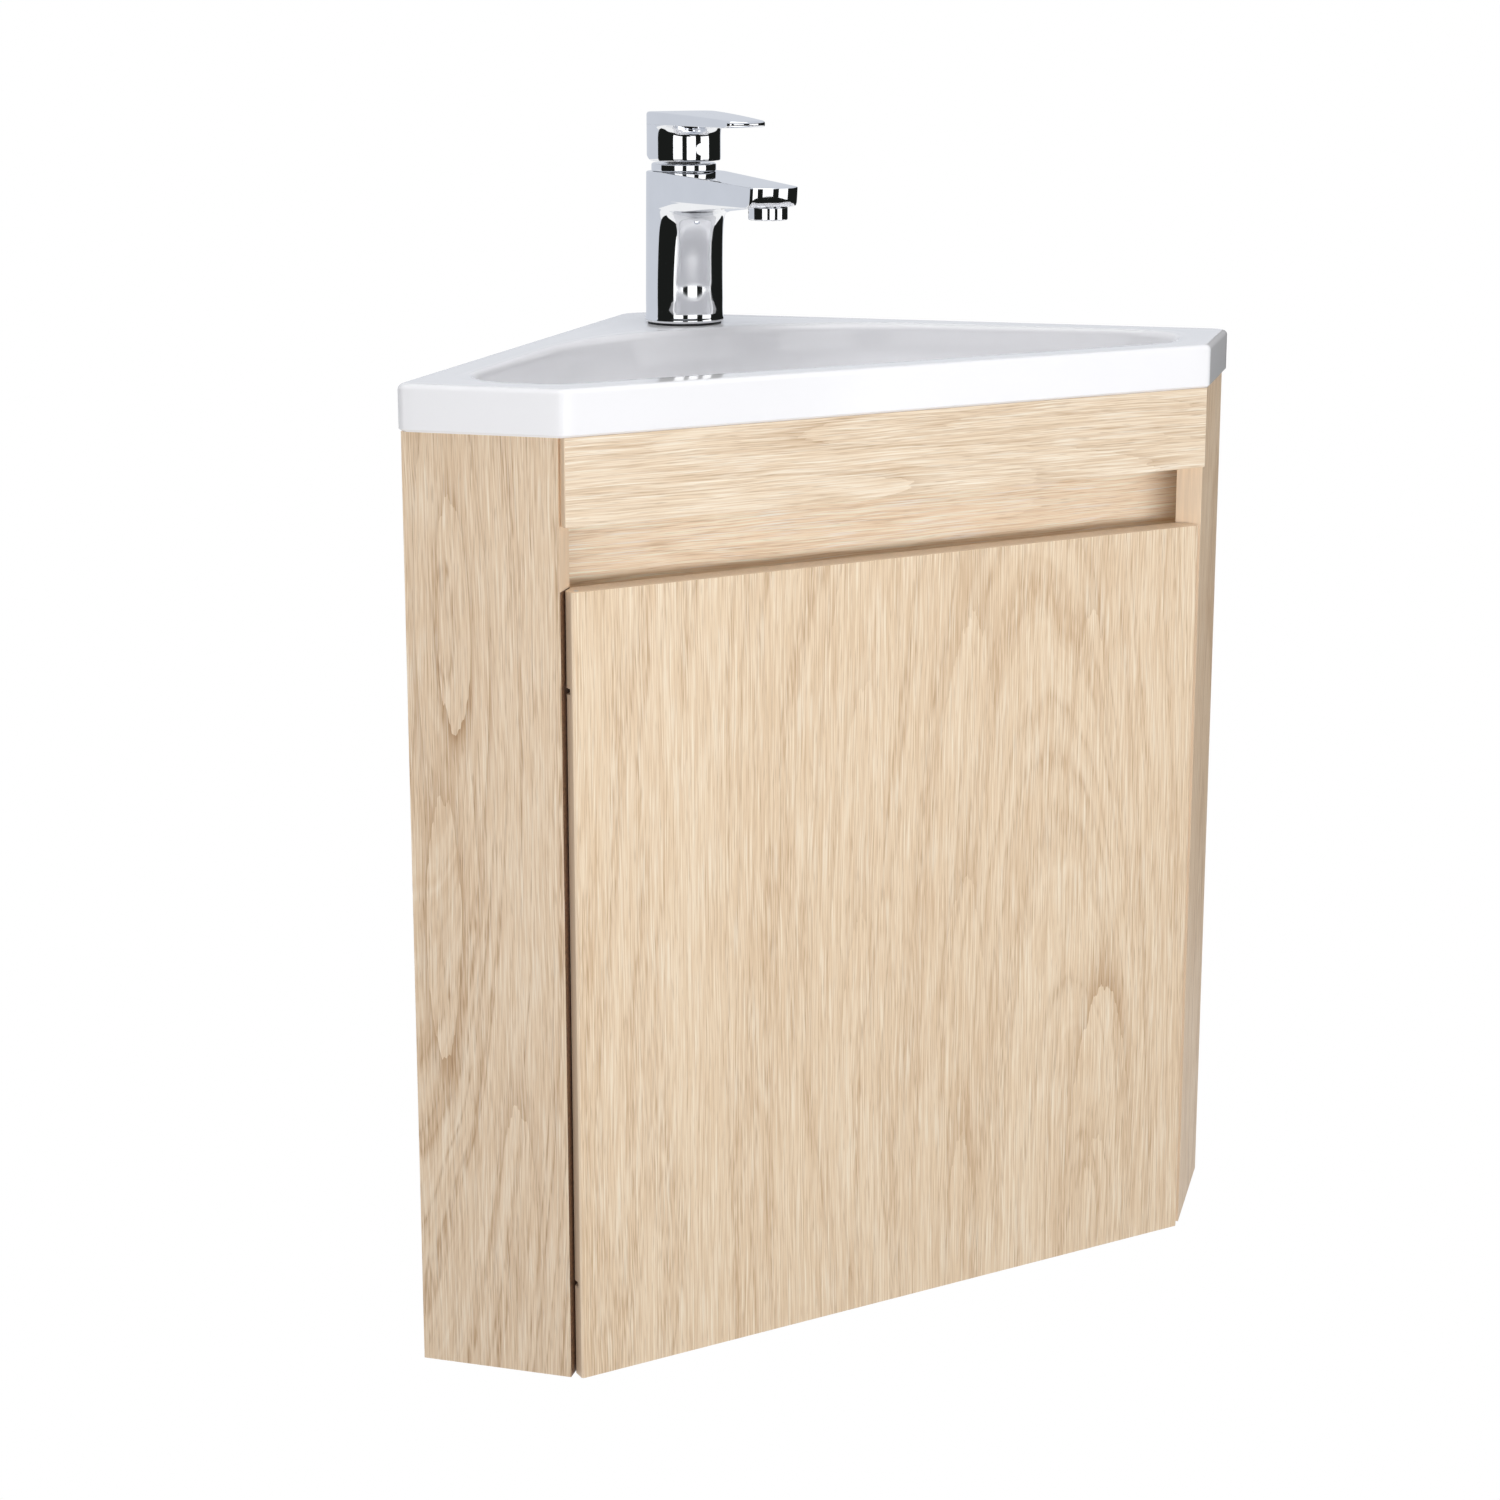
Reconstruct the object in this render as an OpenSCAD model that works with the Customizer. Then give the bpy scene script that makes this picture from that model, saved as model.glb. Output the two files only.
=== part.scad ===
// Corner vanity unit: a wall-hung oak cupboard cut across the corner, a white basin
// and a single-lever basin mixer. The origin is the room corner at the underside of
// the cupboard: the walls are the planes X = 0 and Y = 0, and the front faces +X -Y.

/* [Basin] */
// Length of the basin along each wall
wall_len = 415; // [390:1:460]
// Length of the two short faces of the basin
basin_side = 99; // [94:1:120]
// Height of the basin rim
rim_h = 27; // [22:1:34]
// Thickness of the basin wall
basin_wall = 7; // [6:0.5:8]
// Width of the apron round the underside of the rim
apron_w = 13; // [10:1:16]
// Thickness of the deck between the apron and the bowl
deck_t = 14; // [10:1:18]
// Radius of the upright corners of the rim
rim_corner_r = 6; // [3:0.5:10]
// Radius of the top edge of the rim
rim_top_r = 3.5; // [1.5:0.5:5]
// Chamfer round the bottom edge of the rim
rim_foot = 1.5; // [0.5:0.25:2]
// Bowl's distance from the walls
bowl_from_wall = 26; // [22:1:34]
// Bowl's distance from the short faces
bowl_from_side = 27; // [22:1:34]
// Bowl's distance from the front
bowl_from_front = 25; // [22:1:34]
// Distance from the room corner to the bowl, across the tap ledge
ledge_len = 127; // [120:1:140]
// Depth of the bowl below the rim
bowl_depth = 92; // [80:1:100]
// Corner radius of the bowl at the outer corners
bowl_r = 38; // [30:1:46]
// Corner radius of the bowl beside the tap ledge
ledge_r = 190; // [60:1:200]
// Radius of the lip where the deck turns down into the bowl
lip_r = 6; // [3:0.5:8]

/* [Cupboard] */
// Height of the cupboard
cab_h = 560; // [520:1:620]
// Length of the short faces of the cupboard
cab_side = 95; // [90:1:116]
// Overhang of the basin at the short faces
cab_inset = 3; // [2:0.5:6]
// Gap between the side panels and the wall
wall_setback = 2; // [0:0.5:4]
// Thickness of the boards
panel_t = 16; // [15:1:18]
// Height of the top front rail
top_rail_h = 50; // [40:1:60]
// Height of the finger gap above the door
grip_gap_h = 37; // [30:1:45]
// Depth of the finger gap behind the fronts
grip_gap_y = 22; // [18:1:26]
// Height of the grip rail that closes the finger gap
grip_rail_h = 72; // [62:1:80]
// Height of the grip rail above the lower edge of the top front rail
grip_rail_over = 2; // [1:0.5:3]
// Gap between the grip rail's ends and the side panels
grip_end_gap = 0.7; // [0.3:0.1:0.9]
// Gap from the corner of the side panel to the end of the top front rail
rail_end = 1.6; // [1:0.1:3]
// Height of the two wall rails
wall_rail_h = 90; // [80:1:110]

/* [Door] */
// Gap from the corner of the side panel to the edge of the door
door_end = 5; // [4.8:0.1:6]
// Gap between the door's bevelled edge and the end of the side panel
bevel_gap = 1; // [0.8:0.1:1.4]
// Softened upright edges of the door front
door_ease = 1; // [0.5:0.1:1.5]
// Gap between the back of the door and the bottom panel
door_back_gap = 1.5; // [1:0.1:3]

/* [Door hardware] */
// Diameter of the hinge pins
pin_d = 3; // [2.5:0.1:3.2]
// Length of the hinge pins beyond the straps
pin_beyond = 14; // [10:1:30]
// Distance of the pin's centre from the corner of the side panel, along the front
pin_u = 10; // [9.6:0.1:11]
// Thickness of the steel hinge straps
strap_t = 3; // [2.5:0.1:4]
// Radius of the strap round the pin
eye_r = 3.2; // [2.8:0.1:3.4]
// Distance of the straps from the ends of the door
strap_from_end = 56; // [48:1:60]
// Length of the strap's leaf on the side panel
leaf_len = 40; // [34:1:46]
// Height of the strap's leaf
leaf_h = 44; // [36:1:56]
// Thickness of the strap's leaf
leaf_t = 2; // [1.5:0.1:3]
// Diameter of the strap screws
strap_screw_d = 3.5; // [3:0.1:4]
// Width of the magnet catch
magnet_w = 40; // [30:1:50]
// Height of the magnet catch
magnet_h = 12; // [10:1:16]
// Depth of the magnet catch
magnet_y = 14; // [10:1:20]
// Thickness of the steel plate on the door
plate_t = 1; // [0.8:0.1:1.1]
// Diameter of the door bumpers
bumper_d = 9; // [7:0.5:12]

/* [Fasteners] */
// Diameter of the dowels
dowel_d = 8; // [6:0.5:8]
// Length of the dowels
dowel_len = 28; // [24:1:30]
// Diameter of the holes for the wall screws
wall_hole_d = 7; // [6:0.5:8]
// Distance between the wall screws of one rail
wall_hole_span = 240; // [200:1:260]

/* [Waste and trap] */
// Distance of the waste from each wall
waste_x = 160; // [150:1:170]
// Diameter of the waste hole
waste_hole_d = 45; // [44:0.5:48]
// Diameter of the waste flange
flange_d = 64; // [60:1:70]
// Outside diameter of the waste body
waste_tube_d = 41; // [38:0.5:42]
// Wall of the waste body
waste_tube_wall = 2.5; // [2:0.1:3]
// Length of the waste body below the bowl
waste_tube_len = 62; // [55:1:70]
// Diameter of the plug cap
plug_d = 60; // [52:1:62]
// Travel of the plug
plug_travel = 8; // [5:0.5:9]
// Outside diameter of the drain pipes
pipe_d = 32; // [30:1:35]
// Wall of the drain pipes
pipe_wall = 2; // [1.5:0.1:3]
// Outside diameter of the bottle trap
trap_d = 66; // [60:1:76]
// Height of the bottle trap's cup
trap_cup_h = 56; // [46:1:66]
// Length of the drain pipe between the waste and the trap
tail_len = 62; // [50:1:80]

/* [Tap] */
// Distance of the tap's axis from each wall
tap_x = 60; // [58:1:62]
// Diameter of the tap hole
tap_hole_d = 35; // [33:0.5:36]
// Diameter of the tap's foot
tap_foot_d = 53; // [50:1:56]
// Diameter of the tap's column below the handle
tap_top_d = 50; // [48:1:52]
// Height of the column
tap_body_h = 99; // [92:1:110]
// Distance from the tap's axis to the water outlet
spout_reach = 113; // [100:1:118]
// Width of the spout at its end
spout_w = 35; // [33:1:38]
// Thickness of the spout at its end
spout_t = 13; // [12:0.5:16]
// Fall of the spout from the column to its tip
spout_drop = 5; // [3:0.5:7]
// Diameter of the outlet
outlet_d = 25; // [23:0.5:26]
// Gap between the column and the handle
neck_gap = 7; // [6:0.5:9]
// Diameter of the neck ring
neck_d = 43; // [41:0.5:44]
// Height of the handle
handle_h = 32; // [28:1:38]
// Diameter of the handle
handle_d = 49; // [47.5:0.5:50]
// Wall of the handle's skirt
handle_wall = 2; // [1.8:0.1:2.2]
// Distance from the tap's axis to the lever's end
lever_reach = 90; // [80:1:100]
// Width of the lever's end
lever_w = 28; // [24:1:34]
// Thickness of the lever's end
lever_t = 4.5; // [3.5:0.5:6]
// Fall of the lever's top from the head to its end
lever_drop = 4; // [1:0.5:5]
// Slope cut from the back of the skirt's lower edge, in degrees
skirt_slope = 20; // [18:1:24]
// Diameter of the cartridge
cartridge_d = 35; // [33:0.5:36]
// Diameter of the clamping stud
stud_d = 8; // [6:0.5:8]
// Length of the clamping stud below the deck
stud_len = 52; // [46:1:60]
// Diameter of the two hose sockets
hose_d = 9; // [8:0.5:9]

/* [Hidden] */

$fn = 64;
root2 = sqrt(2);
nudge = 0.5;              // how far a cut runs past the face it opens
fit = 0.05;               // radial clearance of a pin or dowel in its hole
seat = 0.3;               // gap between pieces that move against each other

oak = "#e2cba2";
edge_band = "#d8bf98";
steel = "#b9bcc0";
chrome_color = "#d5d9de";
ceramic = "#f4f4f6";
rubber_black = "#2b2b2d";
plastic_white = "#e9eaea";

// cupboard
cab_wall = wall_len - cab_inset;             // outer face of the side panels
inner_wall = cab_wall - panel_t;             // inner face of the side panels
front_len = (cab_wall - cab_side) * root2;   // between the outer corners of the panels
end_y = panel_t / root2;                     // depth of the panel ends behind that line
proud = panel_t - end_y;                     // how far the fronts stand before that line
rail_z = cab_h - top_rail_h;
door_h = rail_z - grip_gap_h;
grip_z = rail_z + grip_rail_over - grip_rail_h;
grip_y = end_y + grip_gap_y;
bottom_y = end_y + door_back_gap;
wall_rail_z = cab_h - wall_rail_h;

// basin
rim_z = cab_h + rim_h;
basin_front = (wall_len + basin_side) / root2;
floor_z = rim_z - bowl_depth;
waste_d = waste_x * root2;                   // distance of the waste from the corner
waste_top = floor_z + 3;                     // top of the waste flange
waste_foot = floor_z - waste_tube_len;
socket_d = pipe_d + 8;
socket_len = 20;
outlet_in_d = pipe_d - 1;   // the outlet pipe where the nut and the trap cover it
socket_lap = 12;          // how far a slip nut reaches over its socket
cup_lap = 10;             // how far the cup's collar reaches over the trap's body
trap_shell_h = cup_lap + socket_d + 3;
trap_top = waste_foot - tail_len + socket_len + 6;
trap_split = trap_top - socket_len - trap_shell_h;
outlet_z = trap_split + cup_lap + 1 + socket_d / 2;

// tap
handle_z = tap_body_h + neck_gap;
lift_z = handle_z - 3;                       // height of the lift axis
stem_r = 5;
knuckle_w = 13.4;
lift_pin_d = 4;
cartridge_h = 40;

// ---- frames ----

// along the front: x runs from the left corner to the right, y goes inwards
module at_front() {
    translate([cab_side, -cab_wall, 0]) rotate([0, 0, 45]) children();
}

// the same place on the other side of the unit
module other_side() {
    mirror([1, 1, 0]) children();
}

module at_waste(z) {
    translate([waste_x, -waste_x, z]) children();
}

// on the deck, with x towards the spout's end
module at_tap(z) {
    translate([tap_x, -tap_x, rim_z + z]) rotate([0, 0, -45]) children();
}

module ring(outer_d, inner_d, h) {
    difference() {
        cylinder(d = outer_d, h = h);
        translate([0, 0, -nudge]) cylinder(d = inner_d, h = h + 2 * nudge);
    }
}

// ---- outlines of the basin ----

// Each side of an outline is [angle of its outward normal, distance from the origin].
function meet(a, b) =
    let (d = sin(b[0] - a[0]))
    [(a[1] * sin(b[0]) - b[1] * sin(a[0])) / d, (b[1] * cos(a[0]) - a[1] * cos(b[0])) / d];

function rounded(sides, radii, inset, steps) = [
    for (i = [0 : len(sides) - 1])
        let (a = sides[i], b = sides[(i + 1) % len(sides)], r = radii[i])
        let (turn = b[0] - a[0] + (b[0] < a[0] ? 360 : 0))
        let (c = meet([a[0], a[1] - inset - r], [a[0] + turn, b[1] - inset - r]))
        for (k = [0 : steps]) c + r * [cos(a[0] + turn * k / steps), sin(a[0] + turn * k / steps)]
];

function divided(points, step) = [
    for (i = [0 : len(points) - 1])
        let (a = points[i], b = points[(i + 1) % len(points)], n = ceil(norm(b - a) / step))
            for (k = [0 : n - 1]) a + (b - a) * k / n
];

// A closed solid through rings that hold the same number of points, from the top down
module loft(rings) {
    n = len(rings[0]);
    m = len(rings);
    walls = [for (j = [0 : m - 2], i = [0 : n - 1])
        let (k = (i + 1) % n)
        each [[j * n + i, j * n + k, (j + 1) * n + k], [j * n + i, (j + 1) * n + k, (j + 1) * n + i]]];
    top = [for (i = [0 : n - 1]) n - 1 - i];
    foot = [for (i = [0 : n - 1]) (m - 1) * n + i];
    polyhedron(points = [for (r = rings) each r], faces = concat([top], walls, [foot]));
}

function at_height(points, z) = [for (p = points) [p[0], p[1], z]];

basin_sides = [[180, 0], [270, wall_len], [315, basin_front], [360, wall_len], [450, 0]];
basin_radii = [rim_corner_r, rim_corner_r, rim_corner_r, rim_corner_r, 3 * rim_corner_r];

bowl_sides = [
    [135, -ledge_len], [180, -bowl_from_wall], [270, wall_len - bowl_from_side],
    [315, basin_front - bowl_from_front], [360, wall_len - bowl_from_side],
    [450, -bowl_from_wall],
];
bowl_radii = [ledge_r, bowl_r, bowl_r, bowl_r, bowl_r, ledge_r];
bowl_steps = 6;
bowl_rim = divided(rounded(bowl_sides, bowl_radii, 0, bowl_steps), 32);
waste_c = [waste_x, -waste_x];

// how far out the wall of the bowl stands, as a share, at share t of the depth
function bowl_share(t) = pow(1 - pow(t, 2.2), 1 / 1.7);
bowl_levels = [0.12, 0.3, 0.48, 0.64, 0.77, 0.87, 0.94, 0.985];
drain_r = flange_d / 2 + 2;

function bowl_ring(t, grow) = [
    for (p = bowl_rim)
        let (v = p - waste_c, s = bowl_share(t), w = 1 - s)
        let (q = v * s * (1 - 0.1 * w) + v / norm(v) * (drain_r * w * w + grow))
        waste_c + q
];

module bowl_hollow() {
    lip = [for (a = [0 : 30 : 90])
        at_height(
            [for (p = bowl_rim) p + (p - waste_c) / norm(p - waste_c) * lip_r * (1 - sin(a))],
            rim_z - lip_r * (1 - cos(a)))];
    above = at_height(
        [for (p = bowl_rim) p + (p - waste_c) / norm(p - waste_c) * lip_r], rim_z + nudge);
    walls = [for (t = bowl_levels) at_height(bowl_ring(t, 0), rim_z - bowl_depth * t)];
    floor_ring = at_height([for (p = bowl_rim) waste_c + (p - waste_c) / norm(p - waste_c) * drain_r],
        floor_z);
    loft(concat([above], lip, walls, [floor_ring]));
}

module bowl_shell() {
    top = at_height(bowl_ring(bowl_levels[0], basin_wall), rim_z - deck_t + nudge);
    walls = [for (t = bowl_levels)
        if (bowl_depth * t + basin_wall * t > deck_t)
            at_height(bowl_ring(t, basin_wall), rim_z - (bowl_depth + basin_wall) * t)];
    foot = at_height(
        [for (p = bowl_rim) waste_c + (p - waste_c) / norm(p - waste_c) * (drain_r + basin_wall / 2)],
        floor_z - basin_wall);
    loft(concat([top], walls, [foot]));
}

module rim_block() {
    round_over = [for (a = [90 : -30 : 0])
        at_height(
            rounded(basin_sides, basin_radii, rim_top_r * (1 - cos(a)), 4),
            rim_z - rim_top_r * (1 - sin(a)))];
    lower = at_height(rounded(basin_sides, basin_radii, 0, 4), cab_h + rim_foot);
    foot = at_height(rounded(basin_sides, basin_radii, rim_foot, 4), cab_h);
    loft(concat(round_over, [lower, foot]));
}

// the space under the deck, inside the apron
module deck_pocket() {
    pocket = rounded(basin_sides, basin_radii, apron_w, 4);
    translate([0, 0, cab_h - nudge])
        linear_extrude(rim_h - deck_t + nudge) polygon(pocket);
}

module basin() {
    color(ceramic) difference() {
        union() {
            difference() {
                rim_block();
                deck_pocket();
            }
            bowl_shell();
        }
        bowl_hollow();
        at_waste(floor_z - basin_wall - nudge)
            cylinder(d = waste_hole_d, h = basin_wall + 2 * nudge);
        at_tap(-deck_t - nudge) cylinder(d = tap_hole_d, h = deck_t + 2 * nudge);
    }
}

// ---- cupboard ----

// Dowels of the left side: [centre, axis]. A dowel has its middle on the joint.
joint_y = -inner_wall;
grip_mid = (grip_y + panel_t / 2) * root2;   // along the side panel to the grip rail's end
left_dowels = [
    [[panel_t / 2, joint_y, wall_rail_z + 20], "y"],
    [[panel_t / 2, joint_y, cab_h - 20], "y"],
    [[cab_side * 0.3, joint_y, panel_t / 2], "y"],
    [[cab_side * 0.75, joint_y, panel_t / 2], "y"],
];

module dowel(axis, grow) {
    turn = axis == "x" ? [0, 90, 0] : [90, 0, 0];
    rotate(turn) cylinder(d = dowel_d + 2 * grow, h = dowel_len + 4 * grow, center = true);
}

// a dowel reaches less far into the side panel than into the board that meets it
panel_share = 10;
module side_dowels(grow) {
    for (d = left_dowels)
        translate(d[0] + [0, dowel_len / 2 - panel_share, 0]) dowel(d[1], grow);
}

module corner_dowels(grow) {
    for (z = [wall_rail_z + 20, cab_h - 20])
        translate([panel_t / 2, -panel_t - dowel_len / 2 + panel_share, z]) dowel("y", grow);
}

// short dowels that hold the two front rails
short_len = 18;
module short_dowels(grow) {
    h = short_len + 4 * grow;
    translate([cab_side - short_len * 0.2, -cab_wall + end_y * 0.8, rail_z + top_rail_h / 2])
        rotate([0, 90, 0]) cylinder(d = dowel_d * 0.75 + 2 * grow, h = h, center = true);
    for (z = [grip_z + 14, grip_z + grip_rail_h - 14])
        translate([cab_side + end_y * root2 / 2 - grip_mid + panel_t / 2, joint_y, z])
            rotate([90, 0, 0]) cylinder(d = dowel_d * 0.75 + 2 * grow, h = h, center = true);
}

module dowels() {
    color("burlywood") {
        side_dowels(0);
        other_side() side_dowels(0);
        short_dowels(0);
        other_side() short_dowels(0);
        corner_dowels(0);
    }
}

module side_board() {
    difference() {
        translate([wall_setback, -cab_wall, 0]) cube([cab_side - wall_setback, panel_t, cab_h]);
        side_dowels(fit);
        short_dowels(fit);
    }
}

module left_side_panel() {
    color(oak) difference() {
        side_board();
        strap_screw_places() rotate([90, 0, 0])
            cylinder(d = strap_screw_d + 2 * fit, h = strap_screw_len + nudge);
    }
}

module right_side_panel() {
    color(oak) other_side() side_board();
}

module bottom_panel() {
    edge = (cab_wall + cab_side) - bottom_y * root2;    // X - Y along the front edge
    color(oak) difference() {
        linear_extrude(panel_t) polygon([
            [wall_setback, -wall_setback], [wall_setback, joint_y], [edge - inner_wall, joint_y],
            [inner_wall, inner_wall - edge], [inner_wall, -wall_setback],
        ]);
        side_dowels(fit);
        other_side() side_dowels(fit);
    }
}

// A front board: square edges at the face, then bevelled to follow the panel ends
module front_board(end, gap, ease, h) {
    turn_y = end - gap * root2;
    back_u = end_y + gap * root2;
    linear_extrude(h) polygon([
        [end, ease - proud], [end + ease, -proud],
        [front_len - end - ease, -proud], [front_len - end, ease - proud],
        [front_len - end, turn_y], [front_len - back_u, end_y],
        [back_u, end_y], [end, turn_y],
    ]);
}

module top_front_rail() {
    color(oak) difference() {
        translate([0, 0, rail_z]) at_front() front_board(rail_end, 0, door_ease / 2, top_rail_h);
        short_dowels(fit);
        other_side() short_dowels(fit);
    }
}

// The ends lie along the inner faces of the side panels
module grip_rail() {
    front_u = 2 * end_y - grip_y + grip_end_gap * root2;
    back_u = front_u - panel_t;
    color(oak) difference() {
        translate([0, 0, grip_z]) at_front() linear_extrude(grip_rail_h) polygon([
            [front_u, grip_y], [front_len - front_u, grip_y],
            [front_len - back_u, grip_y + panel_t], [back_u, grip_y + panel_t],
        ]);
        short_dowels(fit);
        other_side() short_dowels(fit);
    }
}

// holes for the wall screws, seen from the room side of the left rail
module wall_holes() {
    for (s = [-1, 1])
        translate([-nudge, -cab_wall / 2 + s * wall_hole_span / 2, wall_rail_z + wall_rail_h / 2])
            rotate([0, 90, 0]) cylinder(d = wall_hole_d, h = panel_t + 2 * nudge);
}

module left_wall_rail() {
    color(oak) difference() {
        translate([0, joint_y, wall_rail_z]) cube([panel_t, inner_wall - panel_t, wall_rail_h]);
        wall_holes();
        side_dowels(fit);
        corner_dowels(fit);
    }
}

module back_wall_rail() {
    color(oak) difference() {
        translate([0, -panel_t, wall_rail_z]) cube([inner_wall, panel_t, wall_rail_h]);
        other_side() wall_holes();
        other_side() side_dowels(fit);
        corner_dowels(fit);
    }
}

// ---- door and its hardware ----

// the hinge axis: on the line of the panel corners
pin_x = cab_side + pin_u / root2;
pin_y = -cab_wall + pin_u / root2;
strap_levels = [strap_from_end, door_h - strap_from_end - strap_t];
strap_screw_len = 11;
pin_len = strap_from_end + strap_t + pin_beyond;
back_line = (cab_wall + cab_side) - end_y * root2;      // X - Y along the back of the door
elbow_y = pin_x - back_line + eye_r * root2 + seat * 2 + eye_r;

module strap_screw_places() {
    for (z = strap_levels, s = [-1, 1])
        translate([cab_side - 6 - leaf_len / 2, joint_y, z + strap_t / 2 + s * leaf_h / 3]) children();
}

module hinge_strap() {
    difference() {
        union() {
            translate([cab_side - 6 - leaf_len, joint_y, (strap_t - leaf_h) / 2])
                cube([leaf_len, leaf_t, leaf_h]);
            translate([cab_side - 6 - leaf_len, joint_y, 0])
                cube([leaf_len, elbow_y + eye_r - joint_y, strap_t]);
            translate([cab_side - 6 - nudge, elbow_y - eye_r, 0])
                cube([pin_x - cab_side + 6 + nudge, 2 * eye_r, strap_t]);
            translate([pin_x, elbow_y, 0]) cylinder(r = eye_r, h = strap_t);
            translate([pin_x - eye_r, pin_y, 0]) cube([2 * eye_r, elbow_y - pin_y, strap_t]);
            translate([pin_x, pin_y, 0]) cylinder(r = eye_r, h = strap_t);
        }
        translate([pin_x, pin_y, -nudge]) cylinder(d = pin_d + 2 * fit, h = strap_t + 2 * nudge);
        for (s = [-1, 1])
            translate([cab_side - 6 - leaf_len / 2, joint_y - nudge, strap_t / 2 + s * leaf_h / 3])
                rotate([-90, 0, 0]) cylinder(d = strap_screw_d + 2 * fit, h = leaf_t + 2 * nudge);
    }
}

module hinge_straps() {
    color(steel) for (z = strap_levels) translate([0, 0, z]) hinge_strap();
}

module strap_screws() {
    color(steel) strap_screw_places() {
        rotate([90, 0, 0]) cylinder(d = strap_screw_d, h = strap_screw_len);
        rotate([-90, 0, 0]) {
            cylinder(d = strap_screw_d, h = leaf_t);
            translate([0, 0, leaf_t]) difference() {
                cylinder(d = strap_screw_d * 2, h = 1.6);
                for (a = [0, 90]) rotate([0, 0, a]) translate([-2, -0.4, 0.8]) cube([4, 0.8, 1]);
            }
        }
    }
}

// the space that a strap sweeps inside the door's edge as the door opens
module strap_notch() {
    right = eye_r + seat;
    front = eye_r + 1;
    reach = end_y * root2 + 2 * eye_r;
    translate([pin_x, pin_y, -seat]) {
        translate([-pin_u, -front, 0]) cube([pin_u, front + reach, strap_t + 2 * seat]);
        translate([-nudge, 0, 0]) cube([right + nudge, reach, strap_t + 2 * seat]);
        cylinder(r = right, h = strap_t + 2 * seat);
    }
}

module door() {
    color(oak) difference() {
        at_front() front_board(door_end, bevel_gap, door_ease, door_h);
        for (z = strap_levels) translate([0, 0, z]) strap_notch();
        for (z = [-nudge, door_h - pin_len - fit])
            translate([pin_x, pin_y, z]) cylinder(d = pin_d + 2 * fit, h = pin_len + nudge + fit);
    }
}

module hinge_pins() {
    color(steel) for (z = [0, door_h - pin_len])
        translate([pin_x, pin_y, z]) cylinder(d = pin_d, h = pin_len);
}

magnet_u = front_len - 70;

module door_magnet() {
    y = end_y + plate_t + seat;
    color("dimgray") translate([0, 0, panel_t]) at_front() difference() {
        translate([magnet_u - magnet_w / 2, y, 0]) cube([magnet_w, magnet_y, magnet_h]);
        for (s = [-1, 1])
            translate([magnet_u + s * magnet_w * 0.35, y + magnet_y / 2, magnet_h - 4])
                cylinder(d = 6, h = 4 + nudge);
    }
}

module magnet_plate() {
    color(steel) translate([0, 0, panel_t]) at_front() difference() {
        translate([magnet_u - magnet_w * 0.4, end_y, 0.5])
            cube([magnet_w * 0.8, plate_t, magnet_h - 1]);
        translate([magnet_u, end_y + plate_t / 2, magnet_h / 2]) rotate([-90, 0, 0])
            cylinder(d1 = 3, d2 = 5, h = plate_t / 2 + 0.01);
    }
}

module door_bumpers() {
    color("whitesmoke") at_front() for (u = [60, front_len / 2, front_len - 130])
        translate([u, end_y, panel_t / 2]) rotate([-90, 0, 0])
            cylinder(d = bumper_d, h = door_back_gap - seat);
}

// ---- waste and trap ----

tube_bore = waste_tube_d - 2 * waste_tube_wall;
stem_d = 8;

module waste_flange() {
    color(chrome_color) at_waste(0) difference() {
        union() {
            rotate_extrude() polygon([
                [tube_bore / 2, waste_foot], [waste_tube_d / 2, waste_foot],
                [waste_tube_d / 2, floor_z + 1.5], [flange_d / 2 - 1, floor_z + 1.5],
                [flange_d / 2, floor_z + 2], [flange_d / 2 - 3, waste_top],
                [tube_bore / 2 + 3, waste_top - 0.4], [tube_bore / 2, waste_top - 3],
            ]);
            translate([0, 0, floor_z - 26]) difference() {
                for (a = [0, 90]) rotate([0, 0, a])
                    translate([-tube_bore / 2 - 0.5, -2, 0]) cube([tube_bore + 1, 4, 12]);
            }
            translate([0, 0, floor_z - 26]) cylinder(d = stem_d + 6, h = 12);
        }
        translate([0, 0, floor_z - 27]) cylinder(d = stem_d + 2 * fit, h = 14);
    }
}

module waste_gaskets() {
    color(rubber_black) {
        at_waste(floor_z) ring(flange_d - 4, waste_tube_d + 2 * fit, 1.5);
        at_waste(floor_z - basin_wall - 4) ring(flange_d - 2, waste_tube_d + 2 * fit, 4);
    }
}

module waste_locknut() {
    color(chrome_color) at_waste(floor_z - basin_wall - 13) difference() {
        cylinder(d = flange_d + 2, h = 9, $fn = 6);
        translate([0, 0, -nudge]) cylinder(d = waste_tube_d + 2 * fit, h = 9 + 2 * nudge);
    }
}

// drawn open, standing plug_travel above its seat
module waste_plug() {
    cap_z = waste_top + plug_travel + seat;
    color(chrome_color) at_waste(0) rotate_extrude() polygon([
        [0, floor_z - 26 - plug_travel], [stem_d / 2, floor_z - 26 - plug_travel],
        [stem_d / 2, cap_z - 2], [tube_bore / 2 - 2, cap_z - 2], [tube_bore / 2 - 2, cap_z],
        [plug_d / 2 - 1, cap_z], [plug_d / 2, cap_z + 1.2], [plug_d / 2 - 1.5, cap_z + 3],
        [plug_d * 0.36, cap_z + 4.3], [plug_d * 0.2, cap_z + 5], [0, cap_z + 5.3],
    ]);
}

module tail_pipe() {
    color(plastic_white) at_waste(0) rotate_extrude() polygon([
        [pipe_d / 2 - pipe_wall, waste_foot - tail_len], [pipe_d / 2, waste_foot - tail_len],
        [pipe_d / 2, waste_foot - 3], [waste_tube_d / 2, waste_foot - 3],
        [waste_tube_d / 2, waste_foot], [pipe_d / 2 - pipe_wall, waste_foot],
    ]);
}

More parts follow.
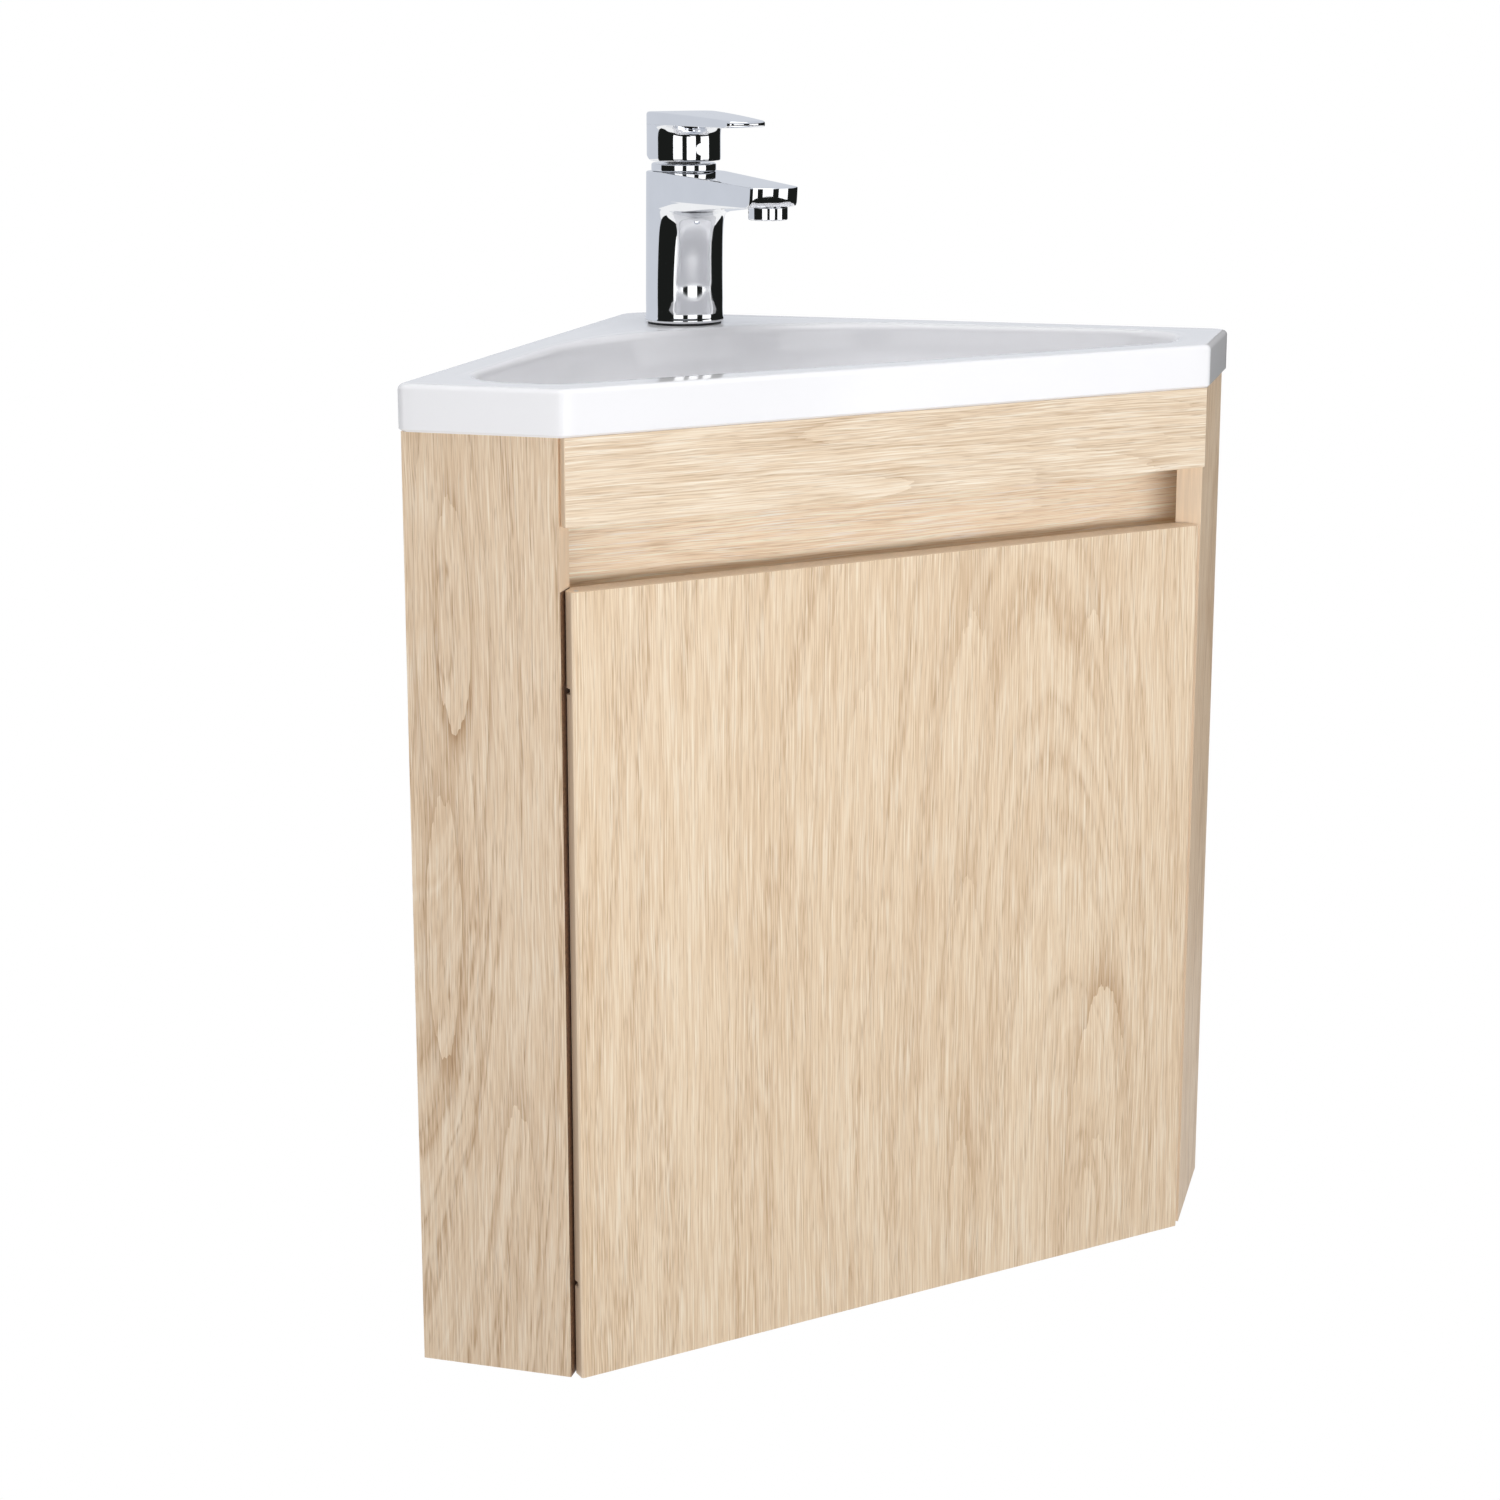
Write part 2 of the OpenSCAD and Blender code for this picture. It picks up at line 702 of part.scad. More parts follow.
module trap_body() {
    reach = trap_d / 2 + socket_len;
    color(plastic_white) at_waste(0) difference() {
        union() {
            translate([0, 0, trap_split]) cylinder(d = trap_d - 6, h = trap_shell_h);
            translate([0, 0, trap_top - socket_len - nudge]) cylinder(d = socket_d, h = socket_len + nudge);
            translate([0, 0, outlet_z]) rotate([0, -90, 0]) cylinder(d = socket_d, h = reach);
        }
        translate([0, 0, trap_split - nudge]) cylinder(d = trap_d - 12, h = trap_shell_h - 3 + nudge);
        translate([0, 0, trap_split]) cylinder(d = pipe_d + 2 * fit, h = trap_top - trap_split + nudge);
        translate([0, 0, outlet_z]) rotate([0, -90, 0]) cylinder(d = outlet_in_d + 2 * fit, h = reach + nudge);
    }
}

module trap_cup() {
    color(plastic_white) at_waste(trap_split - trap_cup_h) difference() {
        union() {
            cylinder(d1 = trap_d - 12, d2 = trap_d - 4, h = 8);
            translate([0, 0, 8]) cylinder(d = trap_d - 4, h = trap_cup_h - 22);
            translate([0, 0, trap_cup_h - 14]) cylinder(d = trap_d + 6, h = 14 + cup_lap);
            for (a = [0 : 30 : 330]) rotate([0, 0, a])
                translate([trap_d / 2 + 2.4, -2, trap_cup_h - 14]) cube([2.4, 4, 14 + cup_lap]);
        }
        translate([0, 0, 4]) cylinder(d = trap_d - 12, h = trap_cup_h - 4 + nudge);
        translate([0, 0, trap_cup_h]) cylinder(d = trap_d - 6 + 2 * fit, h = cup_lap + nudge);
    }
}

nut_d = socket_d + 10;

module slip_nut(bore = pipe_d) {
    difference() {
        union() {
            cylinder(d = nut_d, h = socket_lap + 3);
            for (a = [0 : 45 : 315]) rotate([0, 0, a])
                translate([nut_d / 2 - 1.5, -2, 0]) cube([3, 4, socket_lap + 3]);
        }
        translate([0, 0, -nudge]) cylinder(d = socket_d + 2 * fit, h = socket_lap + nudge);
        cylinder(d = bore + 2 * fit, h = socket_lap + 3 + nudge);
    }
}

module trap_nuts() {
    color(plastic_white) at_waste(0) {
        translate([0, 0, trap_top - socket_lap]) slip_nut();
        translate([-trap_d / 2 - socket_len + socket_lap, 0, outlet_z]) rotate([0, -90, 0]) slip_nut(outlet_in_d);
        translate([0, 0, waste_foot + 12]) rotate([180, 0, 0]) waste_nut();
    }
}

// joins the drain pipe to the waste
module waste_nut() {
    difference() {
        cylinder(d = waste_tube_d + 8, h = 18);
        translate([0, 0, -nudge]) cylinder(d = waste_tube_d + 2 * fit, h = 15 + nudge);
        cylinder(d = pipe_d + 2 * fit, h = 18 + nudge);
    }
}

// runs from the wall into the trap, a little slimmer where the nut and the trap cover it
module trap_outlet_pipe() {
    inner_end = waste_x - trap_d / 2 + 4;
    free_end = waste_x - trap_d / 2 - socket_len - 3 - seat;
    color(plastic_white) translate([0, -waste_x, outlet_z]) rotate([0, 90, 0]) difference() {
        union() {
            cylinder(d = pipe_d, h = free_end);
            cylinder(d = outlet_in_d, h = inner_end);
        }
        translate([0, 0, -nudge]) cylinder(d = pipe_d - 2 * pipe_wall, h = inner_end + 2 * nudge);
    }
}

// ---- tap ----

spout_end = spout_reach + outlet_d / 2 + 2.5;
outlet_seat = tap_body_h - spout_drop - spout_t + 0.5;     // face that the outlet ring seats on
nut_seat = 22;          // depth of the neck nut in the column
cartridge_z = tap_body_h - nut_seat - cartridge_h + 26;

module spout() {
    root_x = 6;
    tip_z = tap_body_h - spout_drop;
    hull() {
        translate([root_x, 0, tap_body_h - 1]) cylinder(d = tap_top_d - 3, h = 1, $fn = 32);
        translate([root_x, 0, tap_body_h - 27]) cylinder(d = tap_top_d - 9, h = 1, $fn = 32);
        for (s = [-1, 1]) translate([spout_end - 6, s * (spout_w / 2 - 6), tip_z - 1])
            cylinder(r = 6, h = 1, $fn = 32);
        for (s = [-1, 1]) translate([spout_end - 7, s * (spout_w / 2 - 8), tip_z - spout_t])
            cylinder(r = 6, h = 1, $fn = 32);
    }
}

// the concave sweep from the underside of the spout into the column
module throat() {
    r = 42;
    depth = 30;
    translate([tap_top_d / 2 - 6, 0, 0]) rotate([90, 0, 0]) translate([0, 0, -tap_top_d / 2])
        linear_extrude(tap_top_d) difference() {
            translate([0, tap_body_h - 27 - depth]) square([depth, depth + 6]);
            translate([depth + 12, tap_body_h - 27 - depth - 8]) circle(r = r * 0.93);
        }
}

module column() {
    cylinder(d = tap_foot_d, h = 3);
    translate([0, 0, 3]) cylinder(d1 = tap_foot_d - 1, d2 = tap_top_d, h = tap_body_h - 3);
}

module tap_body() {
    color(chrome_color) at_tap(gasket_t) difference() {
        union() {
            column();
            spout();
            intersection() {
                throat();
                cylinder_wedge();
            }
        }
        translate([0, 0, tap_body_h - nut_seat]) cylinder(d = neck_d - 4 + 2 * fit, h = nut_seat + nudge);
        translate([0, 0, cartridge_z]) cylinder(d = cartridge_d + 2 * fit, h = tap_body_h);
        translate([0, 0, 12]) cylinder(d = cartridge_d - 6, h = cartridge_z - 16);
        translate([spout_reach, 0, outlet_seat - 5]) cylinder(d = outlet_d - 3 + 2 * fit, h = 14);
        translate([spout_reach, 0, outlet_seat - 10]) cylinder(d = outlet_d + 2 * seat, h = 10);
        translate([10, 0, outlet_seat + 4.5]) rotate([0, 90, 0]) cylinder(d = 7, h = spout_reach - 12);
        translate([-stud_x, 0, -nudge]) cylinder(d = stud_d + 2 * fit, h = 11);
        for (s = [-1, 1]) translate([5, s * 7, -nudge]) cylinder(d = hose_d, h = 14);
    }
}

// keeps the sweep inside the width of the spout
module cylinder_wedge() {
    hull() {
        cylinder(d = tap_top_d - 6, h = tap_body_h - 4, $fn = 32);
        translate([60, 0, 0]) cylinder(d = spout_w - 2, h = tap_body_h - 4, $fn = 32);
    }
}

gasket_t = 1.5;
stud_x = 9;
under_deck = -deck_t;

module tap_base_gasket() {
    color(rubber_black) at_tap(0) ring(tap_foot_d - 4, tap_hole_d - 3, gasket_t);
}

module tap_stud() {
    color(steel) at_tap(0) translate([-stud_x, 0, -stud_len])
        cylinder(d = stud_d, h = stud_len + gasket_t + 10);
}

module tap_clamp_washer() {
    color(steel) at_tap(under_deck - 5.5) difference() {
        union() {
            translate([0, 0, 3]) cylinder(d = tap_hole_d + 12, h = 2.5);
            translate([-stud_x - 9, -9, 0]) cube([18, 18, 3 + 0.5]);
        }
        translate([0, -14, -nudge]) cube([tap_hole_d, 28, 8]);
        translate([-stud_x, 0, -nudge]) cylinder(d = stud_d + 2 * fit, h = 8);
    }
}

module tap_clamp_nut() {
    color("goldenrod") at_tap(under_deck - 5.5 - 7) translate([-stud_x, 0, 0]) difference() {
        cylinder(d = 15, h = 7, $fn = 6);
        translate([0, 0, -nudge]) cylinder(d = stud_d + 2 * fit, h = 7 + 2 * nudge);
    }
}

module tap_cartridge() {
    body_h = tap_body_h - nut_seat + 8 - cartridge_z;
    color("whitesmoke") at_tap(gasket_t + cartridge_z) difference() {
        cylinder(d = cartridge_d, h = body_h);
        translate([0, 0, body_h - 7]) cylinder(d = carrier_d + 2 * fit, h = 7 + nudge);
    }
}

carrier_d = 22;
ring_inner = carrier_d + 4;

module tap_neck_nut() {
    z = tap_body_h - nut_seat;
    color(chrome_color) at_tap(gasket_t) difference() {
        union() {
            translate([0, 0, z]) cylinder(d = neck_d - 4, h = nut_seat);
            translate([0, 0, tap_body_h]) cylinder(d = neck_d, h = neck_gap - 1.5);
        }
        translate([0, 0, z - nudge]) cylinder(d = cartridge_d + 2 * fit, h = 8 + nudge);
        translate([0, 0, z]) cylinder(d = ring_inner, h = nut_seat + neck_gap);
    }
}

// turns with the handle on the cartridge's axis and carries the lift axis
carrier_z = tap_body_h - nut_seat + 1.2;

module cartridge_carrier() {
    slot_z = lift_z - stem_r - 1;
    color("gainsboro") at_tap(gasket_t) difference() {
        translate([0, 0, carrier_z]) cylinder(d = carrier_d, h = lift_z + stem_r - carrier_z);
        translate([-carrier_d, -knuckle_w / 2 - seat, slot_z])
            cube([2 * carrier_d, knuckle_w + 2 * seat, carrier_d]);
        translate([0, 0, lift_z]) rotate([90, 0, 0])
            cylinder(d = lift_pin_d + 2 * fit, h = carrier_d + 2, center = true);
    }
}

module cartridge_stem() {
    color("gainsboro") at_tap(gasket_t) {
        translate([0, 0, lift_z]) rotate([90, 0, 0]) cylinder(d = lift_pin_d, h = carrier_d, center = true);
        translate([0, 0, lift_z]) rotate([90, 0, 0]) cylinder(r = stem_r, h = knuckle_w, center = true);
        translate([-4, -4, lift_z]) cube([8, 8, handle_z + 16 - lift_z]);
    }
}

module handle_shape() {
    top_z = handle_z + handle_h;
    cylinder_h = handle_h - lever_t - 3;
    translate([0, 0, handle_z]) cylinder(d = handle_d, h = cylinder_h + 1);
    hull() {
        translate([0, 0, handle_z + cylinder_h]) cylinder(d = handle_d, h = lever_t, $fn = 48);
        translate([-2, 0, top_z - 1.2]) cylinder(d = handle_d - 10, h = 1.2, $fn = 48);
        for (s = [-1, 1]) translate([lever_reach - 9, s * (lever_w / 2 - 9), top_z - lever_drop - lever_t])
            cylinder(r = 9, h = lever_t, $fn = 32);
    }
}

module tap_handle() {
    inner_d = handle_d - 2 * handle_wall;
    color(chrome_color) at_tap(gasket_t) difference() {
        handle_shape();
        translate([0, 0, handle_z - nudge]) cylinder(d = inner_d, h = 14 + nudge);
        translate([-4 - fit, -4 - fit, handle_z]) cube([8 + 2 * fit, 8 + 2 * fit, 16 + fit]);
        translate([0, 0, handle_z + 8]) rotate([0, 90, 0]) cylinder(d = plug_hole_d, h = handle_d);
        skirt_cut();
    }
}

// takes the back of the skirt up, so that it clears the column when the lever is lifted
module skirt_cut() {
    translate([0, 0, handle_z]) rotate([0, skirt_slope, 0])
        translate([-handle_d, -handle_d, -handle_h]) cube([handle_d, 2 * handle_d, handle_h]);
}

plug_hole_d = 8;

module handle_plug() {
    x = handle_d / 2 - handle_wall - 0.4;
    color(chrome_color) at_tap(gasket_t) translate([x, 0, handle_z + 8]) rotate([0, 90, 0])
        cylinder(d = plug_hole_d - 2 * fit, h = handle_wall + 0.7);
}

// holds the handle on the stem
module handle_screw() {
    color(steel) at_tap(gasket_t) translate([4, 0, handle_z + 8]) rotate([0, 90, 0]) difference() {
        cylinder(d = 5, h = handle_d / 2 - handle_wall - 5);
        translate([0, 0, 10]) cylinder(d = 2.5, h = 20, $fn = 6);
    }
}

module aerator_shell() {
    color(chrome_color) at_tap(gasket_t) translate([spout_reach, 0, outlet_seat]) difference() {
        union() {
            translate([0, 0, -8]) cylinder(d = outlet_d, h = 8);
            translate([0, 0, -1]) cylinder(d = outlet_d - 3, h = 7);
        }
        translate([0, 0, -9]) cylinder(d = outlet_d - 6, h = 20);
    }
}

module aerator_insert() {
    d = outlet_d - 6 - 2 * fit;
    color("silver") at_tap(gasket_t) translate([spout_reach, 0, outlet_seat - 7]) difference() {
        cylinder(d = d, h = 10);
        translate([0, 0, 3]) cylinder(d = d - 4, h = 10);
        for (x = [-6 : 3 : 6], y = [-6 : 3 : 6])
            if (norm([x, y]) < d / 2 - 2)
                translate([x, y, -nudge]) cylinder(d = 1.6, h = 5, $fn = 16);
    }
}

left_side_panel();
right_side_panel();
bottom_panel();
top_front_rail();
grip_rail();
left_wall_rail();
back_wall_rail();
dowels();
hinge_straps();
strap_screws();
door_magnet();
door();
hinge_pins();
door_bumpers();
magnet_plate();
basin();
waste_flange();
waste_gaskets();
waste_locknut();
waste_plug();
tail_pipe();
trap_body();
trap_cup();
trap_nuts();
trap_outlet_pipe();
tap_body();
tap_base_gasket();
tap_stud();
tap_clamp_washer();
tap_clamp_nut();
tap_cartridge();
tap_neck_nut();
cartridge_carrier();
cartridge_stem();
tap_handle();
handle_plug();
handle_screw();
aerator_shell();
aerator_insert();
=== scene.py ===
import bpy
import math
from mathutils import Matrix, Vector


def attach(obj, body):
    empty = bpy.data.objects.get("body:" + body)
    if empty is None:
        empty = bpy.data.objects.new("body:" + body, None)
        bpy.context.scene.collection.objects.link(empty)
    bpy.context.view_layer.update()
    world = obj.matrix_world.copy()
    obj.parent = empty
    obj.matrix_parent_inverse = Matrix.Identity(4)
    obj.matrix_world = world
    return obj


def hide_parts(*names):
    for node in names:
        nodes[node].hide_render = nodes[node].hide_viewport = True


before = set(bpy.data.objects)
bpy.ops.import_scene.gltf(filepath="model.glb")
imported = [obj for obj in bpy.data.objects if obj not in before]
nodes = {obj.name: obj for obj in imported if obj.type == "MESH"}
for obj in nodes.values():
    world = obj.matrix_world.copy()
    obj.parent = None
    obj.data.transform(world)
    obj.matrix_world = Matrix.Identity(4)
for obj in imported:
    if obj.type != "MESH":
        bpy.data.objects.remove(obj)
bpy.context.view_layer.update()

mm = 0.001
root2 = math.sqrt(2)

cameraLook = {
    "lens": 67.26,
    "place": (0.6127, -1.8544, 0.7843),
    "azimuth": 15.66,
    "elevation": 11.66,
    "shiftX": -0.004,
    "shiftY": -0.10,
    "sensor": 36,
    "near": 0.05,
    "far": 50,
}


def makeCamera(c):
    bpy.ops.object.select_all(action="DESELECT")
    bpy.ops.object.camera_add(location=c["place"])
    cam = bpy.context.object
    cam.name = "photoCamera"
    a, e = math.radians(c["azimuth"]), math.radians(c["elevation"])
    back = Vector((math.sin(a) * math.cos(e), -math.cos(a) * math.cos(e), math.sin(e)))
    cam.rotation_mode = "QUATERNION"
    cam.rotation_quaternion = (-back).to_track_quat("-Z", "Y")
    cam.data.lens = c["lens"]
    cam.data.sensor_width = c["sensor"]
    cam.data.shift_x = c["shiftX"]
    cam.data.shift_y = c["shiftY"]
    cam.data.clip_start, cam.data.clip_end = c["near"], c["far"]
    bpy.context.scene.camera = cam


makeCamera(cameraLook)
print("camera set")


def deselect():
    if bpy.context.object and bpy.context.object.mode != "OBJECT":
        bpy.ops.object.mode_set(mode="OBJECT")
    bpy.ops.object.select_all(action="DESELECT")


def pick(obj):
    deselect()
    bpy.context.view_layer.objects.active = obj
    obj.select_set(True)


def editAll(obj):
    pick(obj)
    bpy.ops.object.mode_set(mode="EDIT")
    bpy.ops.mesh.select_mode(type="VERT")
    bpy.ops.mesh.select_all(action="SELECT")


def backToObject():
    bpy.ops.object.mode_set(mode="OBJECT")


def applyModifier(obj, name):
    pick(obj)
    bpy.ops.object.modifier_apply(modifier=name)


def settle(obj):
    # the place goes into the mesh and the object stays at the origin
    pick(obj)
    bpy.ops.object.transform_apply(location=True, rotation=True, scale=True)


def smooth(obj, angle):
    pick(obj)
    bpy.ops.object.shade_smooth_by_angle(angle=math.radians(angle))


def evenShading(obj):
    # the broad faces keep their own direction beside the rounded edges
    even = obj.modifiers.new("even", "WEIGHTED_NORMAL")
    even.mode = "FACE_AREA"
    even.weight = 100
    even.keep_sharp = True
    applyModifier(obj, "even")


def outward(obj):
    editAll(obj)
    bpy.ops.mesh.remove_doubles(threshold=1e-6)
    bpy.ops.mesh.normals_make_consistent(inside=False)
    backToObject()


def copyOfNode(node, name):
    # a CAD node is loose triangles: its copy is merged and its flat faces are made whole
    source = nodes[node]
    mesh = source.data.copy()
    obj = bpy.data.objects.new(name, mesh)
    bpy.context.scene.collection.objects.link(obj)
    mesh.materials.clear()
    editAll(obj)
    bpy.ops.mesh.remove_doubles(threshold=2e-6)
    bpy.ops.mesh.dissolve_limited(angle_limit=math.radians(1))
    bpy.ops.mesh.customdata_custom_splitnormals_clear()
    backToObject()
    return obj


def bevelEdges(obj, width, segments=2, angle=40):
    bevel = obj.modifiers.new("edge", "BEVEL")
    bevel.width = width
    bevel.segments = segments
    bevel.limit_method = "ANGLE"
    bevel.angle_limit = math.radians(angle)
    bevel.use_clamp_overlap = True
    applyModifier(obj, "edge")


def meshFromRings(name, rings, closed):
    # rings of equal length are joined in turn; closed joins the last ring to the first,
    # and otherwise both ends are capped
    count = len(rings[0])
    verts = [p for ring in rings for p in ring]
    faces = []
    steps = len(rings) if closed else len(rings) - 1
    for j in range(steps):
        a, b = j * count, ((j + 1) % len(rings)) * count
        for i in range(count):
            k = (i + 1) % count
            faces.append((a + i, a + k, b + k, b + i))
    if not closed:
        faces.append(tuple(range(count - 1, -1, -1)))
        faces.append(tuple(steps * count + i for i in range(count)))
    mesh = bpy.data.meshes.new(name)
    mesh.from_pydata(verts, [], faces)
    obj = bpy.data.objects.new(name, mesh)
    bpy.context.scene.collection.objects.link(obj)
    outward(obj)
    return obj


def lathe(name, profile, centre, steps=96):
    # profile is [(radius, height)] in mm; one point is drawn along it by extrusion and the line is then
    # spun round the upright axis through centre
    deselect()
    middle = Vector(centre) * mm
    bpy.ops.mesh.primitive_plane_add(size=0.001, location=middle)
    obj = bpy.context.object
    obj.name = name
    settle(obj)
    pick(obj)
    bpy.ops.object.mode_set(mode="EDIT")
    bpy.ops.mesh.select_all(action="SELECT")
    bpy.ops.mesh.merge(type="CENTER")
    bpy.ops.mesh.select_mode(type="VERT")
    here = (0.0, 0.0)
    for index, (r, h) in enumerate(profile):
        step = ((r - here[0]) * mm, 0.0, (h - here[1]) * mm)
        if index == 0:
            bpy.ops.transform.translate(value=step)
        else:
            bpy.ops.mesh.extrude_region_move(TRANSFORM_OT_translate={"value": step})
        here = (r, h)
    bpy.ops.mesh.select_all(action="SELECT")
    bpy.ops.mesh.spin(steps=steps, angle=2 * math.pi, center=middle, axis=(0, 0, 1))
    bpy.ops.mesh.select_all(action="SELECT")
    bpy.ops.mesh.remove_doubles(threshold=1e-6)
    bpy.ops.mesh.dissolve_degenerate(threshold=1e-7)
    bpy.ops.mesh.select_all(action="SELECT")
    bpy.ops.mesh.normals_make_consistent(inside=False)
    backToObject()
    return obj


def roundedProfile(points, radius, steps=4):
    # rounds the corners of an open profile
    out = [points[0]]
    for i in range(1, len(points) - 1):
        p0, p1, p2 = (Vector(points[i - 1]), Vector(points[i]), Vector(points[i + 1]))
        d0, d1 = (p0 - p1), (p2 - p1)
        cut = min(radius, d0.length * 0.49, d1.length * 0.49)
        a, b = p1 + d0.normalized() * cut, p1 + d1.normalized() * cut
        for k in range(steps + 1):
            t = k / steps
            out.append(tuple(a * (1 - t) ** 2 + p1 * 2 * t * (1 - t) + b * t ** 2))
    out.append(points[-1])
    return out


def cutWith(obj, cutter):
    cut = obj.modifiers.new("cut", "BOOLEAN")
    cut.operation = "DIFFERENCE"
    cut.solver = "EXACT"
    cut.object = cutter
    applyModifier(obj, "cut")
    bpy.data.objects.remove(cutter)


def drill(obj, radius, depth, centre, sides, rotation=(0, 0, 0)):
    # a round hole; radius, depth and centre are in mm
    bpy.ops.mesh.primitive_cylinder_add(vertices=sides, radius=radius * mm, depth=depth * mm, rotation=rotation,
                                        location=[v * mm for v in centre])
    cutWith(obj, bpy.context.object)


def place(obj, body, node, material=None):
    if material is not None:
        obj.data.materials.clear()
        obj.data.materials.append(material)
    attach(obj, body)
    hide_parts(node)


class Nodes:
    # lays out shader nodes from left to right
    def __init__(self, name):
        self.material = bpy.data.materials.new(name)
        self.material.use_nodes = True
        self.tree = self.material.node_tree
        self.tree.nodes.clear()
        self.output = self.tree.nodes.new("ShaderNodeOutputMaterial")
        self.shader = self.tree.nodes.new("ShaderNodeBsdfPrincipled")
        self.tree.links.new(self.shader.outputs[0], self.output.inputs[0])
        self.count = 0

    def add(self, kind, **values):
        n = self.tree.nodes.new(kind)
        n.location = (-1400 + 180 * (self.count % 7), 400 - 220 * (self.count // 7))
        self.count += 1
        for key, value in values.items():
            setattr(n, key, value)
        return n

    def link(self, a, b):
        self.tree.links.new(a, b)

    def math(self, operation, a, b=0.0, clamp=False):
        n = self.add("ShaderNodeMath", operation=operation, use_clamp=clamp)
        for i, v in enumerate((a, b)):
            if isinstance(v, (int, float)):
                n.inputs[i].default_value = v
            else:
                self.link(v, n.inputs[i])
        return n.outputs[0]

    def coords(self, scale=(1, 1, 1)):
        tex = self.add("ShaderNodeTexCoord")
        mapping = self.add("ShaderNodeMapping", vector_type="POINT")
        mapping.inputs["Scale"].default_value = scale
        self.link(tex.outputs["Object"], mapping.inputs["Vector"])
        return mapping.outputs[0]

    def noise(self, vector, scale, detail=4, rough=0.5):
        n = self.add("ShaderNodeTexNoise")
        n.inputs["Scale"].default_value = scale
        n.inputs["Detail"].default_value = detail
        n.inputs["Roughness"].default_value = rough
        self.link(vector, n.inputs["Vector"])
        return n.outputs[0]

    def ramp(self, value, stops):
        n = self.add("ShaderNodeValToRGB")
        ramp = n.color_ramp
        ramp.elements[0].position, ramp.elements[0].color = stops[0][0], (*stops[0][1], 1)
        ramp.elements[1].position, ramp.elements[1].color = stops[-1][0], (*stops[-1][1], 1)
        for position, color in stops[1:-1]:
            e = ramp.elements.new(position)
            e.color = (*color, 1)
        self.link(value, n.inputs[0])
        return n.outputs[0]

    def mix(self, factor, a, b):
        n = self.add("ShaderNodeMix", data_type="RGBA")
        for socket, v in ((n.inputs[0], factor), (n.inputs[6], a), (n.inputs[7], b)):
            if isinstance(v, (int, float)):
                socket.default_value = v
            elif isinstance(v, (tuple, list)):
                socket.default_value = (*v, 1)
            else:
                self.link(v, socket)
        return n.outputs[2]

    def bump(self, height, strength, distance):
        n = self.add("ShaderNodeBump")
        n.inputs["Strength"].default_value = strength
        n.inputs["Distance"].default_value = distance
        self.link(height, n.inputs["Height"])
        self.link(n.outputs[0], self.shader.inputs["Normal"])


def linear(r, g, b):
    # screen colour, 0 to 255, to the linear value a shader takes
    out = []
    for v in (r, g, b):
        v /= 255
        out.append(v / 12.92 if v <= 0.04045 else ((v + 0.055) / 1.055) ** 2.4)
    return tuple(out)


def toned(color, tone):
    return linear(*[min(c * t, 255) for c, t in zip(color, tone)])


oakLook = {
    "roughness": 0.5, "roughnessSpread": 0.12, "specular": 0.3, "bump": 0.22, "bumpDepth": 0.0002,
    "colors": {
        "light": (250, 234, 212),
        "middle": (236, 212, 183),
        "dark": (208, 177, 144),
        "figure": (190, 156, 121),
        "pore": (168, 134, 101),
        "rosy": (221, 190, 160),
        "gleam": (255, 246, 230),
    },
}
# each layer of noise: stretch along the board, its place in the noise, scale across, detail, roughness
grainLayers = {
    "sway": (0.22, 0, 9, 1, 0.5),
    "waver": (0.30, 1, 30, 2, 0.5),
    "ragged": (0.05, 1.5, 300, 2, 0.6),
    "fine": (0.012, 2, 1500, 1, 0.6),
    "dashes": (0.040, 3.5, 1250, 1, 0.6),
    "lines": (0.007, 3, 420, 2, 0.7),
    "broad": (0.030, 4, 34, 2, 0.5),
    "patch": (0.050, 4.5, 40, 3, 0.6),
    "pores": (0.045, 5, 1300, 1, 0.6),
    "gleams": (0.022, 6, 1000, 1, 0.6),
    "rings": (0.012, 8, 74, 2, 0.55),
}
# sway, waver and ragged move the grain, in metres; the others say how much each layer shows
grainShare = {
    "sway": 0.034, "waver": 0.0040, "ragged": 0.0026,
    "fine": 1.6, "dashes": 0.62, "lines": 0.60, "broad": 0.34, "base": 0.45,
    "rosy": 0.14, "rows": 0.72, "figure": 0.72, "pore": 0.6, "gleam": 0.42,
}
# where a layer starts to show and how steeply it comes in
grainMask = {
    "patch": (0.50, 4.0), "pores": (0.58, 7.0), "rowPores": (0.36, 4.0), "gleams": (0.56, 8.0),
    "ringBreaks": (0.28, 2.6),
}
flameLook = {"tip": 0.0008, "sharpness": 3.6, "ends": 0.03, "endGain": 16.0, "rowGain": 24.0}


def flame(x, z, lean, step, width, strength, low=None, high=None):
    # a nest of long growth rings round one place of the board: lean is the slope of their sides, step their
    # distance, and low to high the part of the board's length that it fills
    return {"x": x, "z": z, "lean": lean, "step": step, "width": width, "strength": strength,
            "low": low, "high": high}


